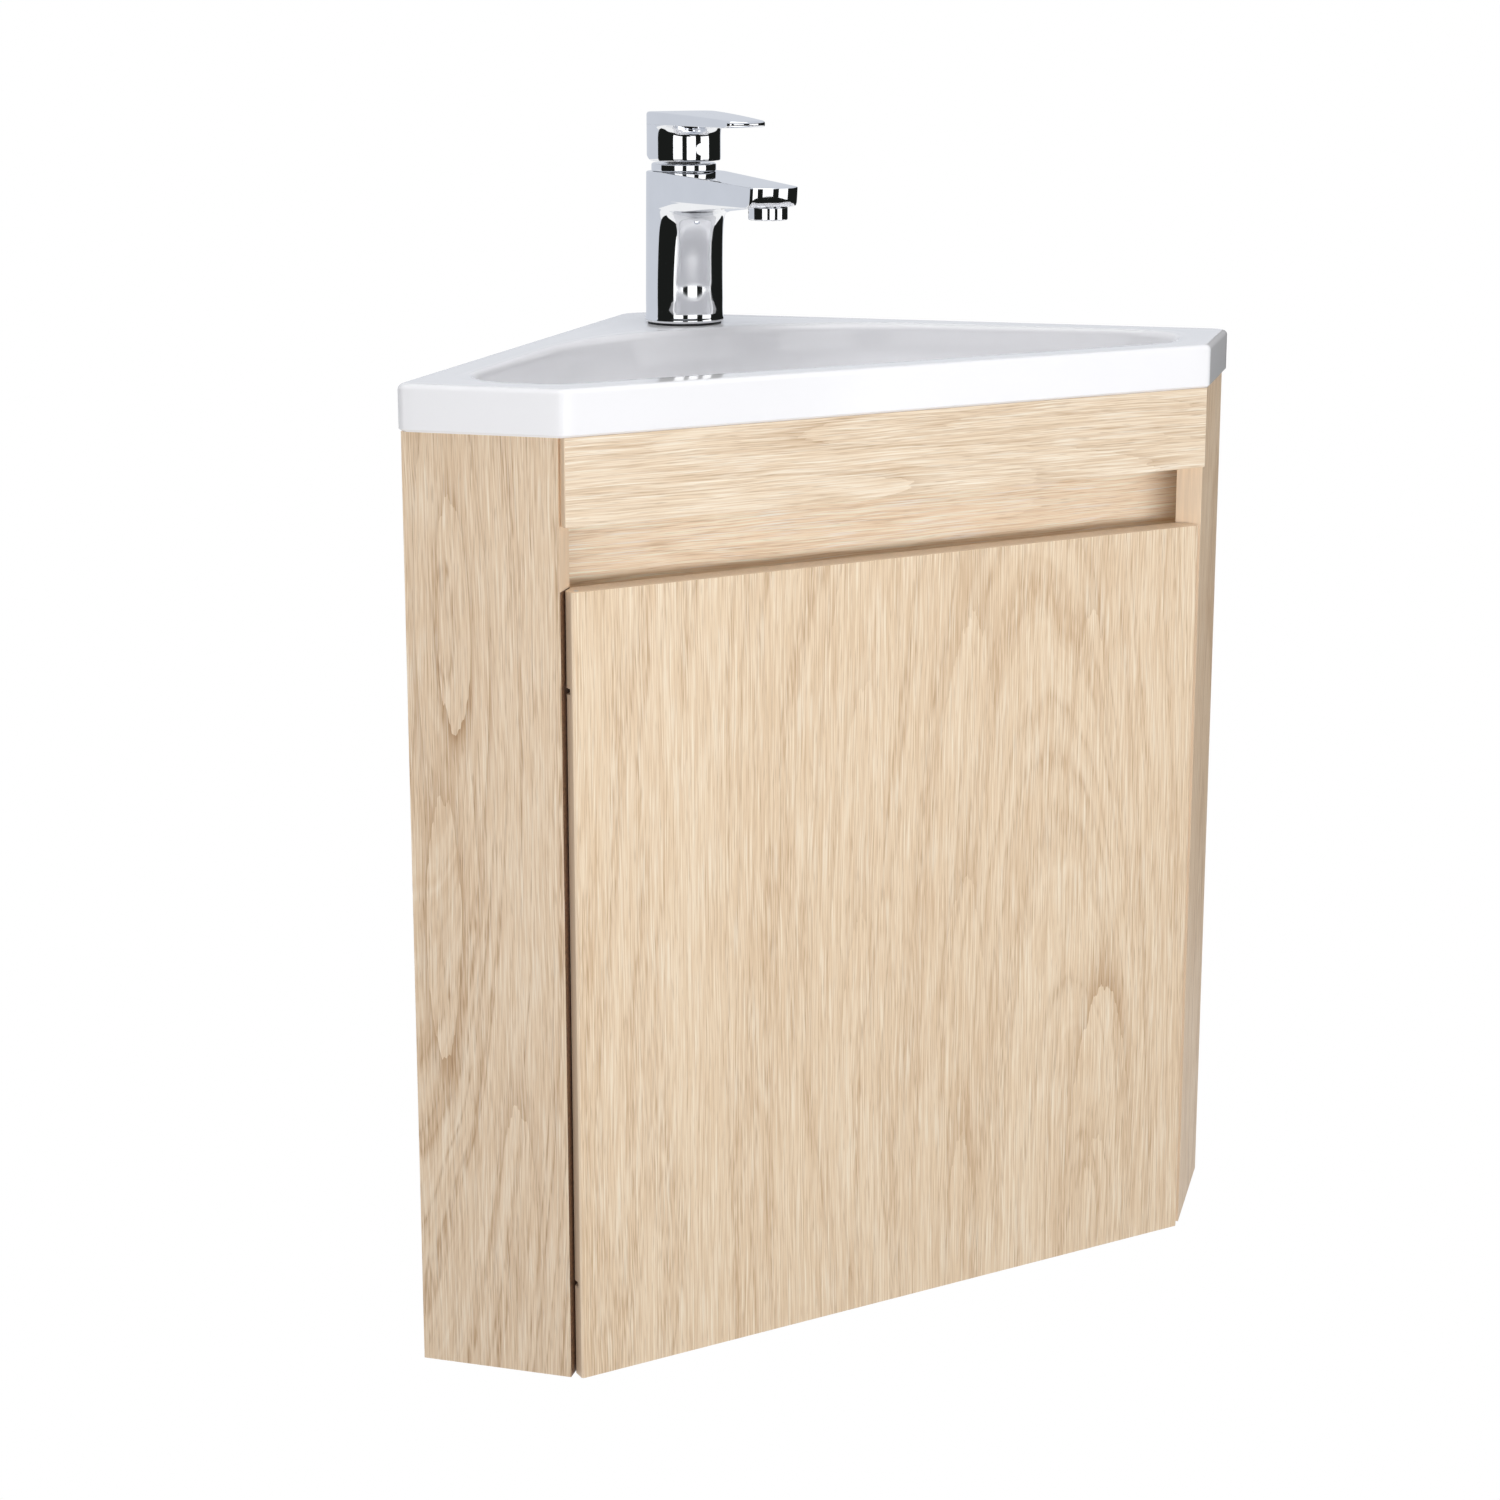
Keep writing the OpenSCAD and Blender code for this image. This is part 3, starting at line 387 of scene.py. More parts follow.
def makeOak(name, turn=(0, 0, 0), crosswise=False, flames=(), tone=(1, 1, 1), seed=0.0, contrast=1.0):
    # turn brings the board's length to Z and its face's width to X; the grain follows the first flame
    n = Nodes(name)
    share, look = grainShare, flameLook
    colors = {key: toned(color, tone) for key, color in oakLook["colors"].items()}
    tex = n.add("ShaderNodeTexCoord")
    face = n.add("ShaderNodeMapping", vector_type="POINT")
    face.inputs["Rotation"].default_value = [math.radians(t) for t in turn]
    n.link(tex.outputs["Object"], face.inputs["Vector"])
    split = n.add("ShaderNodeSeparateXYZ")
    n.link(face.outputs[0], split.inputs[0])
    across, depth, along = split.outputs[0], split.outputs[1], split.outputs[2]
    if crosswise:
        across, along = along, across

    def space(x, stretch, shift):
        v = n.add("ShaderNodeCombineXYZ")
        n.link(x, v.inputs[0])
        n.link(depth, v.inputs[1])
        n.link(n.math("ADD", n.math("MULTIPLY", along, stretch), seed + shift), v.inputs[2])
        return v.outputs[0]

    def layer(kind, x):
        stretch, shift, scale, detail, rough = grainLayers[kind]
        return n.noise(space(x, stretch, shift), scale, detail, rough)

    def centred(value, amount):
        return n.math("MULTIPLY", n.math("SUBTRACT", value, 0.5), amount)

    def over(value, low, gain):
        # 0 below low, then up to 1
        return n.math("MULTIPLY", n.math("SUBTRACT", value, low), gain, clamp=True)

    def product(a, b, clamp=False):
        return n.math("MULTIPLY", a, b, clamp=clamp)

    sway = centred(layer("sway", across), share["sway"])
    waver = centred(layer("waver", across), share["waver"])
    ragged = centred(layer("ragged", across), share["ragged"])
    figure = None
    follow = across
    for index, f in enumerate(flames):
        side = n.math("ADD", n.math("SUBTRACT", across, f["x"]), sway)
        climb = n.math("SUBTRACT", along, f["z"])
        climb = n.math("SQRT", n.math("ADD", product(climb, climb), look["tip"]))
        lift = product(climb, f["lean"])
        radius = n.math("SQRT", n.math("ADD", product(side, side), product(lift, lift)))
        if index == 0:
            follow = radius
        ring = n.math("FRACT", n.math("DIVIDE", n.math("ADD", radius, ragged), f["step"]))
        line = n.math("POWER", n.math("SUBTRACT", 1.0, ring), look["sharpness"])
        strong = n.noise(space(radius, 0.05, 7 + index), 1.1 / f["step"], detail=1)
        line = product(line, over(strong, *grainMask["ringBreaks"]))
        spread = n.math("DIVIDE", side, f["width"])
        fade = n.math("EXPONENT", product(product(spread, spread), -1.0))
        if f["low"] is not None:
            up = over(along, f["low"] - look["ends"], look["endGain"])
            down = n.math("SUBTRACT", f["high"] + look["ends"], along)
            fade = product(fade, product(up, product(down, look["endGain"], clamp=True)))
        line = product(product(line, fade), f["strength"])
        figure = line if figure is None else n.math("ADD", figure, line)

    fibre = n.math("ADD", n.math("ADD", across, waver), product(sway, 0.4))
    flow = n.math("ADD", n.math("ADD", follow, waver), product(fibre, 0.6))
    fine, pores = layer("fine", fibre), layer("pores", fibre)
    # rows of pores along the growth rings: thin lines where a slow noise crosses its middle
    middle = n.math("ABSOLUTE", n.math("SUBTRACT", layer("rings", flow), 0.5))
    rows = n.math("SUBTRACT", 1.0, product(middle, look["rowGain"]), clamp=True)
    rows = product(rows, over(pores, *grainMask["rowPores"]))
    poreMask = over(pores, *grainMask["pores"])
    gleamMask = over(layer("gleams", fibre), *grainMask["gleams"])
    patchMask = over(layer("patch", fibre), *grainMask["patch"])

    lines = centred(layer("lines", flow), share["lines"] * contrast)
    shade = n.math("ADD", centred(fine, share["fine"]), lines)
    shade = n.math("ADD", shade, centred(layer("dashes", fibre), share["dashes"] * contrast))
    shade = n.math("ADD", shade, centred(layer("broad", flow), share["broad"] * contrast))
    shade = n.math("ADD", shade, share["base"], clamp=True)
    color = n.ramp(shade, [(0.0, colors["light"]), (0.45, colors["middle"]), (1.0, colors["dark"])])
    color = n.mix(product(patchMask, share["rosy"] * contrast), color, colors["rosy"])
    color = n.mix(product(rows, share["rows"] * contrast, clamp=True), color, colors["figure"])
    if figure is not None:
        broken = n.math("ADD", product(fine, 1.1), 0.35)
        color = n.mix(product(product(figure, broken), share["figure"], clamp=True), color, colors["figure"])
        poreMask = product(poreMask, n.math("ADD", product(figure, 0.8), 0.45), clamp=True)
    color = n.mix(product(poreMask, share["pore"]), color, colors["pore"])
    color = n.mix(product(gleamMask, share["gleam"]), color, colors["gleam"])
    n.link(color, n.shader.inputs["Base Color"])
    spread = oakLook["roughnessSpread"]
    roughness = n.math("ADD", product(shade, spread), oakLook["roughness"] - spread / 2)
    n.link(roughness, n.shader.inputs["Roughness"])
    n.bump(n.math("SUBTRACT", product(fine, 0.4), poreMask), oakLook["bump"], oakLook["bumpDepth"])
    n.shader.inputs["Specular IOR Level"].default_value = oakLook["specular"]
    return n.material


edgeLook = {
    "band": (236, 212, 184),
    # the first core colour is raw board brown, made darker than a real board as painted shade in the door's
    # gaps; the second is darker still, painted shade for the gap beside the left panel's end
    "shadedCore": (150, 116, 86), "gapShadedCore": (126, 94, 70),
    "coreShadeTop": 0.473,  # the raw board and its painted gap shade show below this height, the door's top edge; above it the band's colour
    "streaks": 500, "chips": 420,
}


def makeEdgeBand(name, shadedCore=None):
    # the core colour goes on ends that have no band: raw board, darkened as painted shade for the gaps
    n = Nodes(name)
    streak = n.noise(n.coords(scale=(1, 1, 0.05)), edgeLook["streaks"], detail=3, rough=0.6)

    def shades(value, color, stops):
        return n.ramp(value, [(at, toned(color, (share,) * 3)) for at, share in stops])

    color = shades(streak, edgeLook["band"], ((0.25, 0.95), (0.75, 1.03)))
    if shadedCore:
        split = n.add("ShaderNodeSeparateXYZ")
        n.link(n.coords(), split.inputs[0])
        chips = n.noise(n.coords(), edgeLook["chips"], detail=3, rough=0.7)
        # the core colour and its painted gap shade stop at the door's top edge; above it the end takes the
        # band's colour
        below = n.math("LESS_THAN", split.outputs[2], edgeLook["coreShadeTop"])
        color = n.mix(below, color, shades(chips, shadedCore, ((0.3, 0.72), (0.7, 1.14))))
    n.link(color, n.shader.inputs["Base Color"])
    n.link(n.math("ADD", n.math("MULTIPLY", streak, 0.1), 0.45), n.shader.inputs["Roughness"])
    n.bump(streak, strength=0.08, distance=0.0001)
    return n.material


glazeLook = {"low": (0.90, 0.90, 0.925), "high": (0.915, 0.915, 0.94), "rough": 0.07, "specular": 0.42}


def makeGlaze(k):
    n = Nodes("whiteGlaze")
    space = n.coords()
    cloud = n.noise(space, scale=9, detail=3)
    n.link(n.ramp(cloud, [(0.3, k["low"]), (0.7, k["high"])]), n.shader.inputs["Base Color"])
    n.link(n.math("ADD", n.math("MULTIPLY", cloud, 0.04), k["rough"]), n.shader.inputs["Roughness"])
    peel = n.noise(space, scale=120, detail=2)
    n.bump(peel, strength=0.04, distance=0.0004)
    n.shader.inputs["Specular IOR Level"].default_value = k["specular"]
    return n.material


metalLook = {
    "polishedChrome": {"color": (0.86, 0.87, 0.89), "rough": 0.03, "spread": 0.02, "bump": 0.0},
    "zincSteel": {"color": (0.62, 0.63, 0.65), "rough": 0.32, "spread": 0.12, "bump": 0.2},
    "plainBrass": {"color": (0.70, 0.52, 0.22), "rough": 0.28, "spread": 0.1, "bump": 0.15},
}


def makeMetal(name, k):
    n = Nodes(name)
    space = n.coords()
    smudge = n.noise(space, scale=60, detail=4)
    dim = tuple(c * 0.97 for c in k["color"])
    n.link(n.ramp(smudge, [(0.3, dim), (0.7, k["color"])]), n.shader.inputs["Base Color"])
    n.link(n.math("ADD", n.math("MULTIPLY", smudge, k["spread"]), k["rough"]), n.shader.inputs["Roughness"])
    n.shader.inputs["Metallic"].default_value = 1.0
    if k["bump"]:
        n.bump(n.noise(space, scale=900, detail=3), k["bump"], distance=0.0002)
    return n.material


mouldedLook = {
    "whitePlastic": {"color": (0.80, 0.80, 0.79), "rough": 0.38, "bump": 0.15},
    "greyPlastic": {"color": (0.10, 0.10, 0.11), "rough": 0.45, "bump": 0.15},
    "blackRubber": {"color": (0.022, 0.022, 0.024), "rough": 0.6, "bump": 0.3},
}


def makeMoulded(name, k):
    n = Nodes(name)
    space = n.coords()
    cloud = n.noise(space, scale=35, detail=3)
    dim = tuple(c * 0.94 for c in k["color"])
    n.link(n.ramp(cloud, [(0.3, dim), (0.7, k["color"])]), n.shader.inputs["Base Color"])
    n.link(n.math("ADD", n.math("MULTIPLY", cloud, 0.08), k["rough"]), n.shader.inputs["Roughness"])
    n.bump(n.noise(space, scale=1500, detail=2), k["bump"], distance=0.0001)
    return n.material


frontTurn = (0, 0, -45)
sideTurn = (0, 0, 90)
oakPieces = {
    "leftPanelOak": {"seed": 1.3, "tone": (0.97, 0.965, 0.96), "contrast": 1.15, "flames": (
        flame(0.030, 0.455, 0.150, 0.0110, 0.026, 1.8, 0.36, 0.60),
        flame(0.022, 0.270, 0.120, 0.0100, 0.024, 1.7, 0.16, 0.38),
        flame(0.062, 0.060, 0.110, 0.0120, 0.030, 1.2, -0.1, 0.20),
    )},
    "rightPanelOak": {"turn": sideTurn, "seed": 4.1, "tone": (0.97, 0.96, 0.95), "flames": (
        flame(0.050, 0.10, 0.10, 0.0080, 0.05, 0.7),
    )},
    "doorOak": {"turn": frontTurn, "seed": 7.7, "tone": (0.970, 0.968, 0.958), "contrast": 0.74, "flames": (
        flame(0.150, -0.02, 0.120, 0.0120, 0.036, 1.5, 0.0, 0.25),
        flame(-0.030, 0.12, 0.075, 0.0105, 0.040, 0.6),
        flame(0.050, -0.06, 0.085, 0.0140, 0.030, 0.6),
        flame(0.140, 0.30, 0.100, 0.0130, 0.030, 0.7, 0.26, 0.50),
    )},
    "frontRailOak": {"turn": frontTurn, "crosswise": True, "seed": 2.9, "tone": (0.995, 1.012, 1.03),
                     "contrast": 0.50, "flames": (
        flame(0.518, -0.17, 0.07, 0.0062, 0.03, 0.8),
        flame(0.550, 0.12, 0.06, 0.0058, 0.03, 0.6),
    )},
    # the grip rail's oak is toned lighter: painted light that cancels the shade in the recess under the top
    # rail
    "gripRailLitOak": {"turn": frontTurn, "crosswise": True, "seed": 5.5, "tone": (1.06, 1.085, 1.115),
                    "contrast": 0.55, "flames": (
        flame(0.49, -0.05, 0.05, 0.0090, 0.03, 0.4),
    )},
    "bottomPanelOak": {"turn": (90, 0, 0), "seed": 8.2, "flames": (
        flame(0.2, 0.1, 0.09, 0.009, 0.08, 0.5),
    )},
    "backRailOak": {"crosswise": True, "seed": 3.3},
    "leftRailOak": {"turn": sideTurn, "crosswise": True, "seed": 6.6},
    "dowelBeech": {"turn": (0, 90, 0), "seed": 9.1},
}
oaks = {name: makeOak(name, **k) for name, k in oakPieces.items()}
edgeBand = makeEdgeBand("oakEdgeBand")
# raw board brown darkened as painted gap shade, and a darker painted shade for the gap beside the left panel
rawShadedCore = makeEdgeBand("rawShadedBoardCore", edgeLook["shadedCore"])
gapShadedCore = makeEdgeBand("gapShadedBoardCore", edgeLook["gapShadedCore"])
glaze = makeGlaze(glazeLook)
chrome, zinc, brassPlain = [makeMetal(name, k) for name, k in metalLook.items()]
whitePlastic, greyPlastic, blackRubber = [makeMoulded(name, k) for name, k in mouldedLook.items()]
print("materials made")

boardLook = {
    "edge": 0.00045,
    "smooth": 50,
    # a face is broad from this share of the second largest, and counts as its side or end from these cosines
    "broadShare": 0.6, "sameSide": 0.8, "sameEnd": 0.97,
}
# node, body, wood, core colour with its painted gap shade, and the directions of the ends that aren't banded
boardPieces = {
    # the left panel's end, seen in the gap beside the door, takes the darker core: painted shade
    "leftPanel": ("left_side_panel", "cabinet", "leftPanelOak", gapShadedCore, [(1, 0, 0)]),
    "rightPanel": ("right_side_panel", "cabinet", "rightPanelOak", rawShadedCore, []),
    "bottomPanel": ("bottom_panel", "cabinet", "bottomPanelOak", rawShadedCore, []),
    "topFrontRail": ("top_front_rail", "cabinet", "frontRailOak", rawShadedCore, []),
    "gripRail": ("grip_rail", "cabinet", "gripRailLitOak", rawShadedCore, []),
    "leftWallRail": ("left_wall_rail", "cabinet", "leftRailOak", rawShadedCore, []),
    "backWallRail": ("back_wall_rail", "cabinet", "backRailOak", rawShadedCore, []),
    "doorBoard": ("door", "door", "doorOak", rawShadedCore, [(-1, 0, 0), (0, 1, 0)]),
}


def makeBoard(name, node, body, wood, shadedCore, rawEnds):
    obj = copyOfNode(node, name)
    # the broad faces keep the grain; the rest is edge band or raw end, whose core colour carries painted gap
    # shade
    areas = sorted((p.area for p in obj.data.polygons), reverse=True)
    broad = areas[1] * boardLook["broadShare"]
    normals = [p.normal.copy() for p in obj.data.polygons if p.area >= broad]
    bevelEdges(obj, boardLook["edge"])
    for material in (oaks[wood], edgeBand, shadedCore):
        obj.data.materials.append(material)
    for p in obj.data.polygons:
        p.material_index = 0 if any(abs(p.normal.dot(v)) > boardLook["sameSide"] for v in normals) else 1
        if any(p.normal.dot(Vector(v)) > boardLook["sameEnd"] for v in rawEnds):
            p.material_index = 2
    smooth(obj, boardLook["smooth"])
    evenShading(obj)
    place(obj, body, node)


for boardName, boardEntry in boardPieces.items():
    makeBoard(boardName, *boardEntry)
print("boards made")

basinSize = {
    "wallLength": 415.0, "shortSide": 99.0, "bottom": 560.0, "top": 587.0,
    "cornerRadius": 6.0, "backRadius": 18.0, "topRadius": 3.5, "foot": 1.5,
    "apron": 13.0, "deck": 14.0, "wall": 7.0,
    "fromWall": 26.0, "fromSide": 27.0, "fromFront": 25.0, "ledge": 127.0,
    "depth": 92.0, "bowlRadius": 38.0, "ledgeRadius": 190.0, "lip": 6.0,
    "waste": (160.0, -160.0), "wasteHole": 22.5, "floorRadius": 34.0,
    "tap": (60.0, -60.0), "tapHole": 17.5,
}


def meet(a, b):
    d = math.sin(math.radians(b[0] - a[0]))
    ca, sa = math.cos(math.radians(a[0])), math.sin(math.radians(a[0]))
    cb, sb = math.cos(math.radians(b[0])), math.sin(math.radians(b[0]))
    return Vector(((a[1] * sb - b[1] * sa) / d, (b[1] * ca - a[1] * cb) / d))


def roundedOutline(sides, radii, inset, steps=8):
    out = []
    for i, a in enumerate(sides):
        b, r = sides[(i + 1) % len(sides)], radii[i]
        turn = b[0] - a[0] + (360 if b[0] < a[0] else 0)
        c = meet((a[0], a[1] - inset - r), (a[0] + turn, b[1] - inset - r))
        for k in range(steps + 1):
            angle = math.radians(a[0] + turn * k / steps)
            out.append(c + r * Vector((math.cos(angle), math.sin(angle))))
    return out


def reachOf(outline, centre, angles):
    # distance from the centre to the outline in each direction
    out = []
    count = len(outline)
    for angle in angles:
        d = Vector((math.cos(angle), math.sin(angle)))
        best = 0.0
        for i in range(count):
            p, q = outline[i] - centre, outline[(i + 1) % count] - centre
            e = q - p
            det = d.x * -e.y + d.y * e.x
            if abs(det) < 1e-9:
                continue
            t = (p.x * -e.y + p.y * e.x) / det
            s = (d.x * p.y - d.y * p.x) / det
            if t > 0 and -1e-6 <= s <= 1 + 1e-6:
                best = max(best, t)
        out.append(best)
    return out


def makeBasin(k):
    front = (k["wallLength"] + k["shortSide"]) / root2
    rimSides = [(180, 0), (270, k["wallLength"]), (315, front), (360, k["wallLength"]), (450, 0)]
    c = k["cornerRadius"]
    rimRadii = [c, c, c, c, k["backRadius"]]
    bowlSides = [
        (135, -k["ledge"]), (180, -k["fromWall"]), (270, k["wallLength"] - k["fromSide"]),
        (315, front - k["fromFront"]), (360, k["wallLength"] - k["fromSide"]), (450, -k["fromWall"]),
    ]
    b, g = k["bowlRadius"], k["ledgeRadius"]
    bowlRadii = [g, b, b, b, b, g]
    centre = Vector(k["waste"])
    rim0 = roundedOutline(rimSides, rimRadii, 0)
    bowl = roundedOutline(bowlSides, bowlRadii, 0, 16)
    angles = {round(2 * math.pi * i / 300, 6) for i in range(300)}
    for p in rim0:
        angles.add(round(math.atan2(p.y - centre.y, p.x - centre.x) % (2 * math.pi), 6))
    angles = sorted(angles)
    angles = [a for i, a in enumerate(angles) if i == 0 or a - angles[i - 1] > 0.0015]
    dirs = [Vector((math.cos(a), math.sin(a))) for a in angles]
    bowlReach = reachOf(bowl, centre, angles)
    rimReach = {}

    def rim(inset):
        if inset not in rimReach:
            rimReach[inset] = reachOf(roundedOutline(rimSides, rimRadii, inset), centre, angles)
        return rimReach[inset]

    def ring(reaches, z):
        return [((centre.x + d.x * r) * mm, (centre.y + d.y * r) * mm, z * mm) for d, r in zip(dirs, reaches)]

    def share(t):
        return (1 - t ** 2.2) ** (1 / 1.7)

    def bowlRing(t, grow):
        s = share(t)
        w = 1 - s
        return [r * s * (1 - 0.1 * w) + k["floorRadius"] * w * w + grow for r in bowlReach]

    top, bottom = k["top"], k["bottom"]
    rings = [ring(rim(k["foot"]), bottom), ring(rim(0), bottom + k["foot"])]
    for i in range(7):
        a = math.radians(90 * i / 6)
        edge = rim(round(k["topRadius"] * (1 - math.cos(a)), 4))
        rings.append(ring(edge, top - k["topRadius"] * (1 - math.sin(a))))
    lipOut = [r + k["lip"] for r in bowlReach]
    inner = rim(round(k["topRadius"], 4))
    for s in (0.25, 0.5, 0.75):
        rings.append(ring([a * (1 - s) + q * s for a, q in zip(inner, lipOut)], top))
    for i in range(7):
        a = math.radians(90 * i / 6)
        lip = [r + k["lip"] * (1 - math.sin(a)) for r in bowlReach]
        rings.append(ring(lip, top - k["lip"] * (1 - math.cos(a))))
    levels = [0.08 + 0.9 * i / 27 for i in range(28)] + [0.991, 0.997]
    for t in levels:
        rings.append(ring(bowlRing(t, 0), top - k["depth"] * t))
    floor = top - k["depth"]
    rings.append(ring([k["floorRadius"]] * len(dirs), floor))
    rings.append(ring([k["floorRadius"] - 4] * len(dirs), floor))
    rings.append(ring([k["wasteHole"]] * len(dirs), floor))
    rings.append(ring([k["wasteHole"]] * len(dirs), floor - k["wall"]))
    rings.append(ring([k["floorRadius"] + k["wall"] / 2] * len(dirs), floor - k["wall"]))
    for t in reversed(levels[3:]):
        z = top - (k["depth"] + k["wall"]) * t
        if z < top - k["deck"] - 3:
            rings.append(ring(bowlRing(t, k["wall"]), z))
    under = top - k["deck"]
    outer = bowlRing(0.12, k["wall"])
    pocket = rim(k["apron"])
    joint = [min(a + 1.5, p - 0.4) for a, p in zip(outer, pocket)]
    rings.append(ring(joint, under))
    rings.append(ring(pocket, under))
    rings.append(ring(pocket, bottom + 0.8))
    rings.append(ring(rim(k["apron"] - 0.8), bottom))
    obj = meshFromRings("cornerBasin", rings, closed=True)
    drill(obj, k["tapHole"], 40, (*k["tap"], top - 7), 64)
    smooth(obj, 40)
    return obj


basin = makeBasin(basinSize)
place(basin, "cabinet", "basin", glaze)
print("basin made")

tapSize = {
    "axis": (60.0, -60.0), "deck": 588.5,
    "baseRadius": 25.9, "topRadius": 25.0, "height": 99.0, "rootHalf": 23.8, "bow": 26,
    "spoutTip": 128.0, "spoutHalf": 17.3, "spoutDrop": 5.0, "spoutEdge": 0.9, "outlet": 113.0,
    "neckGap": 7.0, "handleRadius": 24.5, "handleHeight": 32.0,
    "leverTip": 90.0, "leverHalf": 14.0, "leverDrop": 4.0, "leverEdge": 1.8,
    "relief": 20,  # degrees by which the back of the handle's skirt is cut upwards
    "plugHeight": 8.0, "plugRadius": 4.0, "hose": (5.0, 7.0, 4.5),
    # the rounded foot: (radius, height)
    "foot": [
        (25.2, 0.0), (26.1, 0.15), (26.45, 0.7), (26.45, 1.9),
        (26.1, 2.8), (25.85, 4.0), (25.75, 6.0), (25.7, 9.0),
    ],
    # front profile of the body from the foot up: (reach, height)
    "front": [
        (25.6, 14), (25.65, 24), (26.05, 36), (26.8, 48), (27.9, 58), (29.6, 65),
        (33.0, 70.2), (40, 73.6), (55, 75.6), (80, 78.2), (108, 80.4), (119, 81.0),
        (124.6, 81.9), (126.4, 83.4), (127.2, 86.0), (128, 93.6),
    ],
    # the handle's hollow lower edge: (step in from its radius, height over the gap)
    "skirt": [(2.2, 5.0), (2.2, 0.5), (1.8, 0.05), (0.9, 0.0), (0.25, 0.25), (0.02, 1.0), (0.0, 2.6)],
    # front profile of the handle from its lower edge up: (reach, height)
    "handleFront": [
        (24.5, 111), (24.45, 117), (24.6, 122.5), (26.0, 126.0), (30, 128.3), (42, 129.6),
        (64, 129.8), (82, 129.7), (87.5, 129.9), (89.6, 130.8), (90, 131.9),
    ],
}


def intoTapFrame(obj):
    # local x runs along the spout; the mesh is turned and moved onto the deck
    t = tapSize
    move = Matrix.Translation((t["axis"][0] * mm, t["axis"][1] * mm, t["deck"] * mm))
    obj.data.transform(move @ Matrix.Rotation(math.radians(-45), 4, "Z"))
    obj.data.update()


def curveThrough(points, per=6):
    # smooth curve through the points
    out = []
    last = len(points) - 1
    for i in range(last):
        p = [Vector(points[min(max(j, 0), last)]) for j in range(i - 1, i + 3)]
        for k in range(per):
            t = k / per
            square = (2 * p[0] - 5 * p[1] + 4 * p[2] - p[3]) * t * t
            cube = (3 * p[1] - p[0] - 3 * p[2] + p[3]) * t ** 3
            out.append(0.5 * (2 * p[1] + (p[2] - p[0]) * t + square + cube))
    out.append(Vector(points[-1]))
    return out


def tongueRing(back, reach, half, bow, blend, height, inset=0.0, steps=48):
    # one level: a circle at blend 0 and a tapered tongue with a bowed front at blend 1
    b, tip, h = back - inset, reach - inset, half - inset
    corner = min(3.0, h * 0.4)
    reachY = h - corner * 0.6
    sag = bow - math.sqrt(bow * bow - reachY * reachY)
    side = []
    for i in range(steps + 1):
        t = i / steps
        a = math.radians(90 * t)
        circle = Vector((tip * math.cos(a), b * math.sin(a)))
        if t < 0.34:
            y = reachY * t / 0.34
            q = Vector((tip - bow + math.sqrt(bow * bow - y * y), y))
        elif t < 0.46:
            g = (t - 0.34) / 0.12
            p0, p1 = Vector((tip - sag, reachY)), Vector((tip - sag - corner * 0.5, h))
            p2 = Vector((tip - sag - corner * 1.3, h))
            q = p0 * (1 - g) ** 2 + p1 * 2 * g * (1 - g) + p2 * g * g
        else:
            q = Vector((tip - sag - corner * 1.3, h)).lerp(Vector((0, b)), (t - 0.46) / 0.54)
        side.append(circle.lerp(q, blend))
    rest = []
    for i in range(1, 2 * steps):
        a = math.radians(90 + 90 * i / steps)
        rest.append(Vector((b * math.cos(a), b * math.sin(a))))
    full = side + rest + [Vector((v.x, -v.y)) for v in reversed(side[1:])]
    return [(v.x * mm, v.y * mm, (height(v.x) if callable(height) else height) * mm) for v in full]


def eased(x):
    x = min(1.0, max(0.0, x))
    return x * x * (3 - 2 * x)


def tapLevels(front, back, tip, rootHalf, tipHalf, bow):
    # the levels of a front profile; a level turns from round to tongue as its reach passes the column
    levels = []
    for reach, z in curveThrough(front):
        b = back(z)
        half = rootHalf + (tipHalf - rootHalf) * min(1.0, max(0.0, reach / tip))
        levels.append((b, max(reach, b), half, bow, eased((reach - b - 3) / 24), z))
    return levels


def topRings(back, level, top, edge, insets, stepIn, bowMore):
    # the last rings climb with the sloping top, round its edge and close over it
    reach, half, bow, z = level[1], level[2], level[3], level[5]
    rings = []
    for share in (0.5, 1.0):
        rings.append(tongueRing(back, reach, half, bow, 1, lambda x, s=share: z + (top(x) - edge - z) * s))
    for i in range(1, 6):
        a = math.radians(90 * i / 5)
        down, inset = edge * (1 - math.sin(a)), edge * (1 - math.cos(a))
        rings.append(tongueRing(back, reach, half, bow, 1, lambda x, d=down: top(x) - d, inset))
    for inset in insets:
        rings.append(tongueRing(back, reach - inset * stepIn, half, bow + bowMore, 1, top, inset))
    return rings


def makeTapBody(t):
    h = t["height"]

    def back(z):
        return t["baseRadius"] + (t["topRadius"] - t["baseRadius"]) * z / h

    def top(x):
        return h - 0.02 - t["spoutDrop"] * max(0.0, x - 14) / (t["spoutTip"] - 14)

    rings = [tongueRing(r, r, r, 60, 0, z) for r, z in t["foot"]]
    body = tapLevels(t["front"], back, t["spoutTip"], t["rootHalf"], t["spoutHalf"], t["bow"])
    rings += [tongueRing(*level) for level in body]
    rings += topRings(back(h), body[-1], top, t["spoutEdge"], (3, 8, 14), 4, 3)
    obj = meshFromRings("tapBody", rings, closed=False)
    forward, aside, radius = t["hose"]
    for s in (-1, 1):
        drill(obj, radius, 28, (forward, s * aside, 0), 40)
    smooth(obj, 40)
    return obj


tapBody = makeTapBody(tapSize)
intoTapFrame(tapBody)
place(tapBody, "cabinet", "tap_body", chrome)
print("tap body made")


